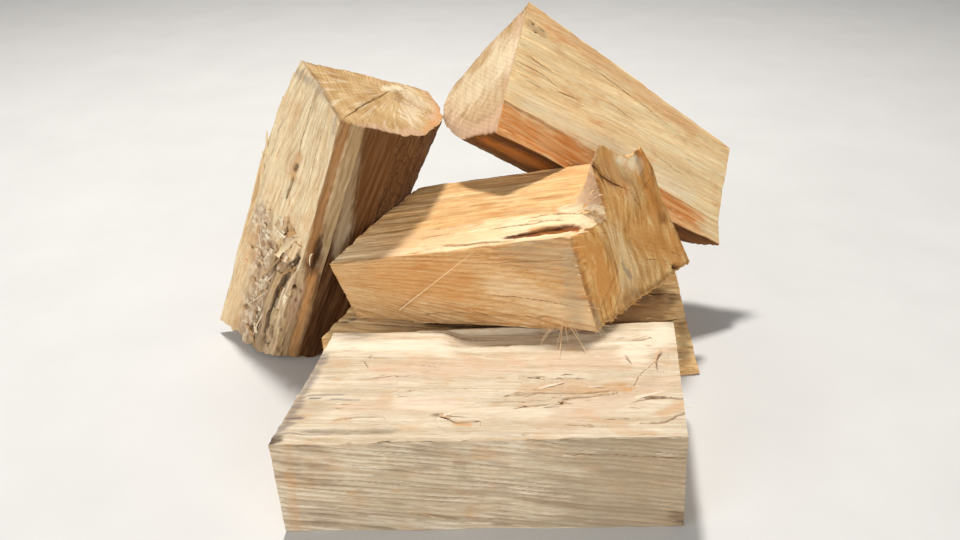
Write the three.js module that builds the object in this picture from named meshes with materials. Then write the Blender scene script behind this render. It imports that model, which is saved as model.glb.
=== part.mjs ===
// A heap of five split firewood logs. Two lie on the ground, one bridges them, one leans on the
// left with its torn foot on the ground, and one lies slanting across the back.
// Millimetres, +Z up, +X along the front log, +Y towards the back of the heap.
//
// Each log is a loft along its grain. Its own frame has x along the grain, y across and z up,
// and is placed by a turn about Z (yaw) and then a lift of its far end (lift), in degrees.
// Edges are the long corners of the log, in order clockwise as seen from its far end. An edge's
// path is a list of [share of the length, y, z]. Side k lies between edge k and edge k + 1.
// A sawn end is a plane x = x0 + perY * y + perZ * z.

import * as THREE from 'three';

// Driving dimensions
const SAWN_LENGTH = 396;
const FRONT_LOG_HEIGHT = 112;
const BACK_LOG_HEIGHT = 104;
const EDGE_WEAR = 2.5;

// How far the waves of a split side run along the grain and across it
const GRAIN_WAVE = { length: 95, width: 16 };
const SWELL_WAVE = { length: 150, width: 60 };
const JAG_WIDTH = 17;

// Shapes of the forms on a side: widths are shares of the side's width
const LEDGE_STEP = 0.08;
const CHIPS = { length: 27, width: 0.16, edge: 0.15, sink: 0.25, stand: 0.6 };
const FORM_RUN_OUT = 0.2;

// The loft's lines
const STATIONS = 20;
const CAP_RINGS = [0.86, 0.5];
const COLUMN_CLEARANCE = 0.35;

// Seeds of the repeatable noise, apart from the sides' own, which are their numbers
const SWELL_SEED = 20;
const CHIP_SEED = 9;
const FOOT_SEED = 3;

const WOOD = { roughness: 0.85, metalness: 0 };

const FRONT_SPLIT = {
  name: 'front_split',
  colour: 0xe2c7a0,
  place: { at: [18, -152, 0], yaw: 2, lift: 0 },
  startCut: { x0: 3 - SAWN_LENGTH / 2, perY: 0.21, perZ: -0.06 },
  endCut: { x0: 3 + SAWN_LENGTH / 2, perY: 0.16, perZ: -0.06 },
  edges: [
    { path: [[0, -101, 0], [1, -108, 0]] },
    { path: [[0, -100, FRONT_LOG_HEIGHT - 2], [1, -107, FRONT_LOG_HEIGHT + 1]] },
    { path: [[0, 97, FRONT_LOG_HEIGHT - 2], [1, 107, FRONT_LOG_HEIGHT]] },
    { path: [[0, 102, 0], [1, 111, 0]] },
  ],
  sides: [
    {
      name: 'front',
      columns: 5,
      swell: 1,
      grain: 1.4,
      forms: [{ kind: 'knot', at: 0.46, x: -105, reach: 0.14, length: 16, height: 3 }],
    },
    {
      name: 'top',
      columns: 7,
      swell: 2,
      grain: 1.6,
      forms: [
        { kind: 'crack', at: 0.29, from: -30, to: 190, halfWidth: 0.02, depth: 7 },
        { kind: 'ledge', at: 0.4, until: 0.62, from: 10, to: 205, depth: 6 },
        { kind: 'ledge', at: 0.82, until: 1.5, from: -60, to: 95, depth: 8 },
        { kind: 'ledge', at: 0.12, until: -0.2, from: -205, to: -90, depth: 4 },
      ],
    },
    { name: 'back', columns: 3, swell: 3, grain: 2 },
    { name: 'bottom', columns: 1, swell: 0, grain: 0 },
  ],
};

const BACK_SPLIT = {
  name: 'back_split',
  colour: 0xc9934f,
  place: { at: [51, 70, 0], yaw: 9, lift: 0 },
  startCut: { x0: -208, perY: 0.6, perZ: 0 },
  endCut: { x0: 226, perY: 0.08, perZ: -0.18 },
  edges: [
    { path: [[0, -66, 0], [1, -86, 0]] },
    { path: [[0, -72, BACK_LOG_HEIGHT - 12], [1, -80, 9]] },
    { path: [[0, -11, BACK_LOG_HEIGHT - 7], [1, -2, BACK_LOG_HEIGHT]] },
    { path: [[0, 66, BACK_LOG_HEIGHT - 20], [1, 90, BACK_LOG_HEIGHT + 16]] },
    { path: [[0, 73, 0], [1, 93, 0]] },
  ],
  sides: [
    { name: 'front', columns: 3, swell: 2, grain: 2 },
    {
      name: 'slope',
      columns: 4,
      swell: 2.5,
      grain: 2,
      forms: [{ kind: 'ledge', at: 0.45, until: 0.95, from: 60, to: 230, depth: 5 }],
    },
    { name: 'top', columns: 4, swell: 2, grain: 2 },
    {
      name: 'back',
      columns: 5,
      swell: 3,
      grain: 2,
      forms: [{ kind: 'knot', at: 0.5, x: -60, reach: 0.22, length: 24, height: 6 }],
    },
    { name: 'bottom', columns: 1, swell: 0, grain: 0 },
  ],
};

// The far end of this log flares into a knotty swelling that stands above the top side
const MIDDLE_SPLIT = {
  name: 'middle_split',
  colour: 0xd09a58,
  place: { at: [38.5, 53.8, 173.5], yaw: -3, lift: 10 },
  startCut: { x0: -148.5, perY: 0.84, perZ: -0.2 },
  endCut: { x0: 152, perY: 0.69, perZ: -0.24 },
  edges: [
    { path: [[0, -64, -46], [0.85, -110, -68], [1, -117, -74]] },
    { path: [[0, -65, 33], [0.85, -97, 42], [1, -101, 43]] },
    { path: [[0, -30, 43], [0.85, -52, 50], [0.95, -46, 43], [1, -41, 31]] },
    { path: [[0, -12, 48], [0.85, -34, 53], [0.9, -34, 58], [0.95, -35, 70], [1, -32, 97]] },
    { path: [[0, 8, 52], [0.85, -14, 56], [0.9, -13, 64], [0.95, -10, 88], [1, -9, 111]] },
    { path: [[0, 28, 56], [0.85, 20, 59], [0.9, 22, 62], [0.95, 25, 67], [1, 27, 77]] },
    { path: [[0, 60, 63], [0.3, 63, 62], [0.6, 67, 60], [0.8, 64, 61], [0.95, 54, 68], [1, 52, 78]] },
    { path: [[0, 64, 36], [0.85, 58, 36], [1, 60, 47]] },
    { path: [[0, 66, 0], [0.85, 60, -4], [1, 56, 5]] },
    { path: [[0, 69, -48], [0.85, 64, -92], [1, 64, -97]] },
  ],
  sides: [
    {
      name: 'front',
      columns: 5,
      swell: 2,
      grain: 2,
      forms: [{ kind: 'ledge', at: 0.14, until: -0.3, from: -130, to: 60, depth: 7 }],
    },
    {
      name: 'top_front',
      columns: 2,
      swell: 1.5,
      grain: 1.2,
      forms: [{ kind: 'crack', at: 0.45, from: -20, to: 84, halfWidth: 0.12, depth: 9 }],
    },
    { name: 'top_valley', columns: 1, swell: 1.5, grain: 1.2 },
    { name: 'top_knob', columns: 1, swell: 1.5, grain: 1.2 },
    { name: 'top_notch', columns: 1, swell: 1.5, grain: 1.2 },
    { name: 'top_back', columns: 1, swell: 1.5, grain: 1.2 },
    { name: 'back_upper', columns: 1, swell: 3, grain: 2 },
    { name: 'back_middle', columns: 1, swell: 3, grain: 2 },
    { name: 'back_lower', columns: 3, swell: 3, grain: 2 },
    { name: 'underside', columns: 6, swell: 2, grain: 2 },
  ],
  endChecks: [{ edge: 3, share: 0.8, depth: 7 }],
};

// Side 0 is the lit face, sides 2 to 4 are the bark. The foot is torn, not sawn.
const LEFT_SPLIT = {
  name: 'left_split',
  colour: 0xc39a6b,
  place: { at: [-194.7, 115.2, 172], yaw: -3, lift: 65 },
  startCut: { x0: -169.6, perY: 0.27, perZ: -0.43 },
  endCut: { x0: 176, perY: 0.12, perZ: 0.12 },
  footJag: 6,
  edges: [
    { footReach: 3, path: [[0, -66, -8], [0.2, -59, 4], [0.4, -68, 8], [1, -97, 27]] },
    { footReach: 12, path: [[0, 6, 82], [0.3, -2, 94], [0.65, -4, 108], [0.85, -13, 104], [1, -17, 101]] },
    { path: [[0, 71, -64], [1, 96, -52]] },
    { path: [[0, 27, -86], [1, 60, -78]] },
    { path: [[0, 4, -88], [1, -10, -68]] },
    { path: [[0, -43, -74], [1, -49, -41]] },
    { path: [[0, -66, -35], [1, -79, 0]] },
  ],
  sides: [
    {
      name: 'lit',
      columns: 6,
      swell: 3,
      grain: 2.2,
      forms: [
        { kind: 'ledge', at: 0.3, until: 0.8, from: -190, to: -20, depth: 9 },
        { kind: 'torn', fromSide: 0, toSide: 0.8, from: -170, to: 20, depth: 12 },
        { kind: 'knot', at: 0.55, x: 70, reach: 0.12, length: 12, height: 4 },
      ],
    },
    { name: 'back', columns: 6, bulge: 6, swell: 4, grain: 3 },
    { name: 'bark_back', columns: 2, bulge: 4, swell: 2, grain: 2 },
    { name: 'bark_middle', columns: 2, bulge: 5, swell: 2, grain: 2 },
    { name: 'bark_front', columns: 2, bulge: 3, swell: 2, grain: 2 },
    {
      name: 'shade_lower',
      columns: 3,
      swell: 2,
      grain: 2,
      forms: [{ kind: 'ledge', at: 0.3, until: 1.3, from: -190, to: 185, depth: 4 }],
    },
    { name: 'shade_upper', columns: 2, swell: 1, grain: 2 },
  ],
  endChecks: [{ edge: 0, share: 0.3, depth: 4 }],
};

// Side 0 is the narrow orange side, side 1 the large pale face and sides 4 to 6 the bark
const TOP_SPLIT = {
  name: 'top_split',
  colour: 0xd9b27c,
  place: { at: [140.5, 189.2, 234.6], yaw: 14, lift: -32 },
  startCut: { x0: -175, perY: -0.38, perZ: 0.12 },
  endCut: { x0: 175, perY: -0.72, perZ: 0.2 },
  edges: [
    { path: [[0, -66, -22], [1, -62, -12]] },
    { path: [[0, -42, 16], [1, -43, 12]] },
    { path: [[0, 24, 127], [1, 9, 105]] },
    { path: [[0, 38, 36], [1, 38, 37]] },
    { path: [[0, 43, -4], [1, 42, 3]] },
    { path: [[0, 36, -40], [1, 33, -26]] },
    { path: [[0, 7, -56], [0.6, 7, -52], [1, 4, -38]] },
    { path: [[0, -31, -53], [0.6, -33, -48], [1, -35, -34]] },
  ],
  sides: [
    { name: 'strip', columns: 2, swell: 1.5, grain: 1.5 },
    {
      name: 'pale',
      columns: 7,
      swell: 1.5,
      grain: 1.2,
      forms: [
        { kind: 'crack', at: 0.8, from: -60, to: 130, halfWidth: 0.03, depth: 4 },
        { kind: 'knot', at: 0.86, x: -146, reach: 0.07, length: 12, height: -3 },
      ],
    },
    { name: 'back_upper', columns: 5, swell: 3, grain: 2 },
    { name: 'back_lower', columns: 2, swell: 2, grain: 2 },
    { name: 'bark_back', columns: 2, bulge: 3, swell: 1.5, grain: 1.5 },
    { name: 'bark_middle', columns: 2, bulge: 3, swell: 1.5, grain: 1.5 },
    { name: 'bark_front', columns: 2, bulge: 3, swell: 1.5, grain: 1.5 },
    {
      name: 'underside',
      columns: 3,
      swell: 2,
      grain: 2,
      forms: [{ kind: 'ledge', at: 0.5, until: 1.2, from: -140, to: 150, depth: 5 }],
    },
  ],
};

const mix = (a, b, share) => a + (b - a) * share;
const clamp01 = (value) => Math.min(1, Math.max(0, value));
const smooth = (value) => value * value * (3 - 2 * value);

// Even, repeatable scatter from 0 to 1 for a whole-numbered place
function scatter(i, j, seed) {
  const wave = Math.sin(i * 127.1 + j * 311.7 + seed * 74.7) * 43758.5453;
  return wave - Math.floor(wave);
}

// Smooth noise from -1 to 1
function noise(a, b, seed) {
  const i = Math.floor(a);
  const j = Math.floor(b);
  const alongShare = smooth(a - i);
  const acrossShare = smooth(b - j);
  const near = mix(scatter(i, j, seed), scatter(i + 1, j, seed), alongShare);
  const far = mix(scatter(i, j + 1, seed), scatter(i + 1, j + 1, seed), alongShare);
  return 2 * mix(near, far, acrossShare) - 1;
}

// 1 between two places along the grain, running out to 0 over a short way at each
function span(x, from, to) {
  const runOut = FORM_RUN_OUT * (to - from);
  return smooth(clamp01(Math.min(x - from, to - x) / runOut));
}

// Heights of the named forms above a side, at a share of its width and a place along the grain
const FORM_HEIGHT = {
  crack: (form, share, x) => {
    const opening = clamp01(1 - Math.abs(share - form.at) / form.halfWidth);
    return -form.depth * opening * span(x, form.from, form.to);
  },
  ledge: (form, share, x) => {
    const beyond = (share - form.at) / (form.until - form.at);
    const drop = beyond < 0 ? 0 : clamp01(1 - beyond) * clamp01(beyond / LEDGE_STEP);
    return -form.depth * drop * span(x, form.from, form.to);
  },
  knot: (form, share, x) => {
    const across = (share - form.at) / form.reach;
    const along = (x - form.x) / form.length;
    return form.height * Math.exp(-across * across - along * along);
  },
  torn: (form, share, x) => {
    const within = clamp01(Math.min(share - form.fromSide, form.toSide - share) / CHIPS.edge);
    const chips = CHIPS.stand * noise(x / CHIPS.length, share / CHIPS.width, CHIP_SEED);
    return form.depth * (chips - CHIPS.sink) * smooth(within) * span(x, form.from, form.to);
  },
};

// Shares of a side's width at which the loft has a line: even ones, and those of its forms
function columnShares(side) {
  const shares = [0, 1];
  for (const form of side.forms ?? []) {
    if (form.kind === 'crack') {
      shares.push(form.at - form.halfWidth, form.at, form.at + form.halfWidth);
    }
    if (form.kind === 'ledge') {
      shares.push(form.at, form.at + LEDGE_STEP * (form.until - form.at));
    }
  }
  const clearance = COLUMN_CLEARANCE / (side.columns + 1);
  for (let k = 1; k <= side.columns; k += 1) {
    const share = k / (side.columns + 1);
    if (shares.every((other) => Math.abs(other - share) > clearance)) shares.push(share);
  }
  return shares.filter((share) => share >= 0 && share <= 1).sort((a, b) => a - b);
}

// Place of an edge at a share of the length, as [y, z]
function edgeAt(edge, along) {
  const next = Math.max(1, edge.path.findIndex((point) => point[0] >= along));
  const [from, fromY, fromZ] = edge.path[next - 1];
  const [to, toY, toZ] = edge.path[next];
  const share = (along - from) / (to - from);
  return new THREE.Vector2(mix(fromY, toY, share), mix(fromZ, toZ, share));
}

// One line of points around the log at a share of its length
function ringAt(log, along) {
  const corners = log.edges.map((edge) => edgeAt(edge, along));
  const ring = [];
  log.sides.forEach((side, k) => {
    const start = corners[k];
    const end = corners[(k + 1) % corners.length];
    const width = start.distanceTo(end);
    const direction = end.clone().sub(start).divideScalar(width);
    const outward = new THREE.Vector2(-direction.y, direction.x);
    const wear = Math.min(EDGE_WEAR, width / 4);
    for (const share of columnShares(side)) {
      const place = start.clone().addScaledVector(direction, mix(wear, width - wear, share));
      const startX = cutAt(log.startCut, place);
      const endX = cutAt(log.endCut, place);
      const x = mix(startX, endX, along);
      const bulge = (side.bulge ?? 0) * 4 * share * (1 - share);
      const height = bulge + relief(side, k, share, share * width, x);
      place.addScaledVector(outward, height);
      const torn = along === 0 ? tornFoot(log, k, share, place) : 0;
      ring.push(new THREE.Vector3(x + torn, place.x, place.y));
    }
  });
  return ring;
}

// How far a torn foot is short of its plane, or past it where negative
function tornFoot(log, k, share, place) {
  if (!log.footJag) return 0;
  const next = log.edges[(k + 1) % log.edges.length];
  const reach = mix(log.edges[k].footReach ?? 0, next.footReach ?? 0, share);
  return log.footJag * noise(place.x / JAG_WIDTH, place.y / JAG_WIDTH, FOOT_SEED) - reach;
}

function cutAt(cut, place) {
  return cut.x0 + cut.perY * place.x + cut.perZ * place.y;
}

// Height of the surface above the plain side
function relief(side, seed, share, across, x) {
  const swellPlace = [x / SWELL_WAVE.length, across / SWELL_WAVE.width];
  const grainPlace = [x / GRAIN_WAVE.length, across / GRAIN_WAVE.width];
  const swell = side.swell * noise(...swellPlace, seed + SWELL_SEED);
  const grain = side.grain * noise(...grainPlace, seed);
  const forms = (side.forms ?? []).map((form) => FORM_HEIGHT[form.kind](form, share, x));
  return forms.reduce((sum, height) => sum + height, swell + grain);
}

// Rings of a sawn or torn end, from just inside its rim to its middle
function capRings(log, rim, isEnd) {
  const middle = rim.reduce((sum, point) => sum.add(point), new THREE.Vector3());
  middle.divideScalar(rim.length);
  const checks = isEnd ? log.endChecks ?? [] : [];
  const jag = isEnd ? 0 : log.footJag ?? 0;
  return CAP_RINGS.map((scale) => rim.map((point, index) => {
    const place = middle.clone().lerp(point, scale);
    place.x += jag * noise(place.y / JAG_WIDTH, place.z / JAG_WIDTH, FOOT_SEED);
    for (const check of checks) {
      if (index === checkIndex(log, check)) place.x -= check.depth * scale;
    }
    return place;
  })).concat([[middle]]);
}

// Which point of the ring a drying check of the end runs out to
function checkIndex(log, check) {
  let index = 0;
  for (let k = 0; k < check.edge; k += 1) index += columnShares(log.sides[k]).length;
  return index + Math.round(check.share * columnShares(log.sides[check.edge]).length);
}

function splitLog(log) {
  const rings = [];
  for (let k = 0; k <= STATIONS; k += 1) rings.push(ringAt(log, k / STATIONS));
  const startCap = capRings(log, rings[0], false);
  const endCap = capRings(log, rings[STATIONS], true);
  const rows = [...startCap.reverse(), ...rings, ...endCap];

  const positions = [];
  const firstOfRow = rows.map((row) => {
    const first = positions.length / 3;
    for (const point of row) positions.push(point.x, point.y, point.z);
    return first;
  });

  const around = rings[0].length;
  const faces = [];
  for (let row = 0; row + 1 < rows.length; row += 1) {
    for (let k = 0; k < around; k += 1) {
      const next = (k + 1) % around;
      const [here, there] = [firstOfRow[row], firstOfRow[row + 1]];
      if (rows[row].length === 1) {
        faces.push(here, there + k, there + next);
      } else if (rows[row + 1].length === 1) {
        faces.push(here + k, there, here + next);
      } else {
        faces.push(here + k, there + k, there + next);
        faces.push(here + k, there + next, here + next);
      }
    }
  }

  const geometry = new THREE.BufferGeometry();
  geometry.setAttribute('position', new THREE.Float32BufferAttribute(positions, 3));
  geometry.setIndex(faces);
  geometry.computeVertexNormals();
  const material = new THREE.MeshStandardMaterial({ color: log.colour, ...WOOD });
  const mesh = new THREE.Mesh(geometry, material);
  mesh.name = log.name;
  mesh.position.set(...log.place.at);
  const yaw = THREE.MathUtils.degToRad(log.place.yaw);
  const lift = THREE.MathUtils.degToRad(log.place.lift);
  mesh.rotation.set(0, -lift, yaw, 'ZYX');
  return mesh;
}

// The heap stands on z = 0, with its middle over the origin
function heap(logs) {
  const pile = new THREE.Group();
  pile.name = 'firewood_heap';
  for (const log of logs) pile.add(splitLog(log));
  pile.updateMatrixWorld(true);
  const box = new THREE.Box3().setFromObject(pile, true);
  const middle = box.getCenter(new THREE.Vector3());
  pile.position.set(-middle.x, -middle.y, -box.min.z);
  pile.updateMatrixWorld(true);
  return pile;
}

export default heap([FRONT_SPLIT, BACK_SPLIT, MIDDLE_SPLIT, LEFT_SPLIT, TOP_SPLIT]);
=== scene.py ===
# A heap of five split firewood logs on a pale floor. The key lamp stands high behind it, and
# two wide, soft lamps fill its front from the left and from the right.
# Log shapes are in millimetres, in each log's own frame: x along the grain, y across, z up.
# Colours are screen values from 0 to 255.

import math

import bpy
import numpy as np
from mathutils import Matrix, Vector


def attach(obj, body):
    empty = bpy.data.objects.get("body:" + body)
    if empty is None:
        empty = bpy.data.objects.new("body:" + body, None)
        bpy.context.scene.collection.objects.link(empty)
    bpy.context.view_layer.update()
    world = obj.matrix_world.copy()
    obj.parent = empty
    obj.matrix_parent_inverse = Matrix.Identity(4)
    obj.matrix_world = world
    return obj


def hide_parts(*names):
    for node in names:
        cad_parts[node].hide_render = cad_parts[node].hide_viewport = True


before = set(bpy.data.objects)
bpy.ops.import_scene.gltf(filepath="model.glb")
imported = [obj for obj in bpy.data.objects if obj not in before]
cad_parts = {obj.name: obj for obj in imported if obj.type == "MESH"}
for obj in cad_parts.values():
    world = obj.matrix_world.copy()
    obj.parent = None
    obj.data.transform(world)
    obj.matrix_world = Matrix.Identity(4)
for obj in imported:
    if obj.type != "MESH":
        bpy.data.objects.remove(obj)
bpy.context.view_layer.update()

METRES = 0.001
HEAP_SHIFT = (5.264, -0.8, 0.0)

# Spacing of the mesh lines
ALONG_STEP = 3.1
ACROSS_STEP = 1.2
CAP_STEP = 2.9

# The same worn edges and waves that the solid logs have
SAWN_LENGTH = 396
EDGE_WEAR = 2.5
GRAIN_WAVE = (95, 16)
SWELL_WAVE = (150, 60)
LEDGE_STEP = 0.05
RUN_OUT = 0.2
JAG_WIDTH = 17
FOOT_TAPER = 0.05
RIM_DEPTH = 9
SWELL_SEED = 20
CHIP_SEED = 9
FOOT_SEED = 3

# Seeds of the noise of forms, stains and patches. An index is added to each.
FORM_SEED = 130
STAIN_SEED = 200
CAP_FORM_SEED = 310
CAP_STAIN_SEED = 330
PATCH_SEED = 400

# Finer waves of a split side: length along the grain, width across it and height
FIBRES = ((60, 7.0, 0.55), (34, 3.4, 0.34), (20, 1.9, 0.2))
FAR = 20.0
# Cracks with a narrower half width than this are hairlines, drawn brown and faint as painted shade
HAIRLINE = 0.8

FRONT_SPLIT = {
    "name": "front_split",
    "slot": "pale_wood",
    "slivers": [
        {"side": 1, "x": 148, "across": 168, "length": 26, "width": 1.8, "heading": 14, "rise": 8},
        {"side": 1, "x": 141, "across": 141, "length": 14, "width": 1.6, "heading": -72, "rise": 9},
        {"side": 1, "x": -8, "across": 68, "length": 13, "width": 1.8, "heading": 62, "rise": 10},
        {"side": 1, "x": -143, "across": 147, "length": 10, "width": 1.4, "heading": 45, "rise": 14},
        {"side": 1, "x": -144, "across": 148, "length": 20, "width": 1.4, "heading": -68, "rise": 9},
        {"side": 1, "x": 26, "across": 111, "length": 24, "width": 1.8, "heading": -8, "rise": 5},
        {"side": 1, "x": 184, "across": 148, "length": 40, "width": 3.4, "heading": 226, "rise": 8,
         "turn": 40, "warm": 0.6},
        {"side": 1, "x": 132, "across": 60, "length": 34, "width": 5, "heading": 6, "rise": 6,
         "pale": 0.6},
        {"side": 1, "x": 36, "across": 90, "length": 34, "width": 5, "heading": 12, "rise": 6,
         "pale": 0.6},
        {"side": 1, "x": -64, "across": 42, "length": 18, "width": 3.4, "heading": -38, "rise": 9,
         "warm": 0.8},
        {"side": 1, "x": -60, "across": 40, "length": 26, "width": 3, "heading": -4, "rise": 7,
         "pale": 0.7},
    ],
    "patches": [
        {"side": 1, "count": 60, "x": (-190, 195), "across": (6, 200), "length": (5, 18),
         "width": (0.5, 1.6), "heading": (-16, 16), "rise": (3, 12)},
        {"side": 1, "count": 24, "x": (10, 150), "across": (45, 110), "length": (6, 22),
         "width": (0.8, 2.6), "heading": (-12, 20), "rise": (4, 14)},
        {"side": 0, "count": 34, "x": (-190, 170), "across": (4, 108), "length": (6, 20),
         "width": (0.4, 1.1), "heading": (-8, 8), "rise": (2, 7)},
        {"side": 1, "count": 26, "x": (-205, 180), "across": (0, 4), "length": (4, 14),
         "width": (0.5, 1.4), "heading": (-10, 10), "rise": (2, 9)},
        {"side": 2, "count": 30, "x": (-190, 190), "across": (4, 105), "length": (6, 24),
         "width": (0.6, 1.8), "heading": (-8, 8), "rise": (2, 10)},
    ],
    "rims": (1.5, 1.5),
    "at": (18, -152, 0), "yaw": 2, "lift": 0,
    "start": (3 - SAWN_LENGTH / 2, 0.21, -0.06),
    "end": (3 + SAWN_LENGTH / 2, 0.16, -0.06),
    "pith": (40, -130),
    "edges": [
        [(0, -101, 0), (1, -108, 0)],
        [(0, -100, 110), (1, -107, 113)],
        [(0, 97, 110), (1, 107, 112)],
        [(0, 102, 0), (1, 111, 0)],
    ],
    "sides": [
        {
            "swell": 1, "grain": 1.4, "rib": (5.8, 0.9, 0.13), "steps": 0.5, "fibres": 0.5,
            "wander": 2.2, "keen": 0.4,
            "forms": [
                {"kind": "split", "path": [(60, 96), (190, 86)], "half": 0.6, "depth": 2},
            ],
            "stains": [
                {"mask": "grey", "path": [(120, -10), (120, 120)], "half": 100, "strength": 0.9},
                {"mask": "brown", "path": [(120, -10), (140, 60), (150, 110)],
                 "half": 90, "strength": 0.26},
                {"mask": "grey", "path": [(-120, 20), (-60, 90)], "half": 50, "strength": 0.35},
                {"mask": "dark_and_shade", "path": [(174, 12), (190, 4)], "half": 10, "strength": 0.7},
                {"mask": "warm", "path": [(-205, 0), (-205, 112)], "half": 6, "strength": 0.4},
                {"mask": "warm", "path": [(-150, 50), (-143, 50)], "half": 2.5, "strength": 0.6},
                {"mask": "warm", "path": [(-108, 52), (-101, 52)], "half": 2.5, "strength": 0.6},
            ],
        },
        {
            "swell": 2, "grain": 1.6, "rib": (13, 0.18, 0.05), "steps": 1.2, "fibres": 0.1,
            "forms": [
                {"kind": "ledge", "at": 0.4, "until": 0.62, "from": 10, "to": 205, "depth": 6},
                {"kind": "ledge", "at": 0.82, "until": 1.5, "from": -60, "to": 95, "depth": 8},
                {"kind": "ledge", "at": 0.12, "until": -0.2, "from": -205, "to": -90, "depth": 4},
                {"kind": "split", "path": [(4, 71), (38, 75), (79, 75), (116, 79), (131, 77)],
                 "half": 1.1, "depth": 7},
                {"kind": "split", "path": [(14, 50), (61, 54), (67, 62), (91, 65), (124, 75)],
                 "half": 0.9, "depth": 6},
                {"kind": "flap", "path": [(38, 92), (58, 101), (92, 105)],
                 "wide": -16, "half": 0.7, "height": 2.2},
                {"kind": "split", "path": [(-26, 60), (22, 63)], "half": 0.7, "depth": 3},
                {"kind": "flap", "path": [(132, 57), (158, 63), (206, 64)],
                 "wide": 14, "half": 0.8, "height": 2.2},
                {"kind": "flap", "path": [(132, 24), (154, 22), (170, 30), (186, 42)],
                 "wide": 12, "half": 0.8, "height": 2},
                {"kind": "split", "path": [(100, 30), (136, 32)], "half": 0.5, "depth": 2},
                {"kind": "flap", "path": [(136, 80), (152, 108), (174, 131), (186, 148)],
                 "wide": -15, "half": 0.8, "height": 2.4},
                {"kind": "split", "path": [(148, 171), (180, 178)], "half": 0.9, "depth": 4},
                {"kind": "split", "path": [(141, 141), (147, 127)], "half": 0.7, "depth": 2},
                {"kind": "split", "path": [(24, 111), (50, 107)], "half": 0.8, "depth": 3},
                {"kind": "split", "path": [(-166, 35), (-139, 40), (-112, 38)],
                 "half": 0.7, "depth": 3},
                {"kind": "split", "path": [(-64, 40), (-42, 27), (-18, 28)],
                 "half": 0.8, "depth": 3},
                {"kind": "split", "path": [(-97, 132), (-60, 126)], "half": 0.5, "depth": 2},
                {"kind": "split", "path": [(-105, 80), (-60, 88), (-20, 86)],
                 "half": 0.5, "depth": 2},
                {"kind": "flap", "path": [(-120, 206), (-70, 199), (-20, 193), (40, 192)],
                 "wide": 12, "half": 0.5, "height": 1.6},
                {"kind": "split", "path": [(-150, 104), (-84, 110)], "half": 0.4, "depth": 1.5},
                {"kind": "split", "path": [(60, 22), (104, 18)], "half": 0.4, "depth": 1.5},
            ],
            "stains": [
                {"mask": "ink", "path": [(-195, 77), (-160, 78)], "half": 1.4, "strength": 0.9},
                {"mask": "ink", "path": [(-193, 72), (-181, 72)], "half": 1.3, "strength": 0.9},
                {"mask": "ink", "path": [(-170, 70), (-142, 69)], "half": 1.2, "strength": 0.9},
                {"mask": "ink", "path": [(-211, 40), (-197, 41)], "half": 2.5, "strength": 1},
                {"mask": "ink", "path": [(-210, 30), (-202, 32)], "half": 2.5, "strength": 0.8},
                {"mask": "ink", "path": [(-212, 16), (-185, 17), (-150, 19)],
                 "half": 1.6, "strength": 0.85},
                {"mask": "ink", "path": [(-180, 110), (-172, 111)], "half": 2, "strength": 0.5},
                {"mask": "ink", "path": [(-225, 2), (-214, 24), (-203, 70), (-188, 150)],
                 "half": 7, "strength": 0.75},
                {"mask": "dark_and_shade", "path": [(-227, -1), (-214, 7)], "half": 6, "strength": 0.9},
                {"mask": "grey", "path": [(-205, 50), (-186, 60)], "half": 20, "strength": 0.5},
                {"mask": "grey", "path": [(-175, 84), (-120, 84)], "half": 9, "strength": 0.35},
                {"mask": "dark_and_shade", "path": [(-66, 41), (-60, 41)], "half": 3, "strength": 0.8},
                {"mask": "warm", "path": [(-44, 26), (-32, 24)], "half": 4, "strength": 0.9},
                {"mask": "warm", "path": [(30, 86), (70, 90), (128, 88)],
                 "half": 13, "strength": 0.6},
                {"mask": "warm", "path": [(134, 82), (132, 92)], "half": 7, "strength": 0.9},
                {"mask": "warm", "path": [(162, 36), (184, 52)], "half": 9, "strength": 0.6},
                {"mask": "warm", "path": [(-150, 37), (-165, 34)], "half": 4, "strength": 0.5},
                {"mask": "rose", "path": [(-150, 60), (-40, 62)], "half": 16, "strength": 0.5},
                {"mask": "rose", "path": [(-120, 120), (20, 130)], "half": 22, "strength": 0.6},
                {"mask": "rose", "path": [(60, 30), (170, 90)], "half": 26, "strength": 0.45},
                {"mask": "rose", "path": [(60, 130), (150, 140)], "half": 20, "strength": 0.6},
                {"mask": "pale", "path": [(-190, 175), (-60, 160)], "half": 18, "strength": 0.7},
                {"mask": "pale", "path": [(150, 150), (195, 190)], "half": 25, "strength": 0.8},
                {"mask": "pale", "path": [(-100, 60), (40, 36)], "half": 12, "strength": 0.5},
            ],
        },
        {"swell": 3, "grain": 2, "rib": (9, 0.5, -0.05), "steps": 1.5},
        {"swell": 0, "grain": 0, "rib": (9, 0, 0), "steps": 0, "flat": True},
    ],
}

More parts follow.
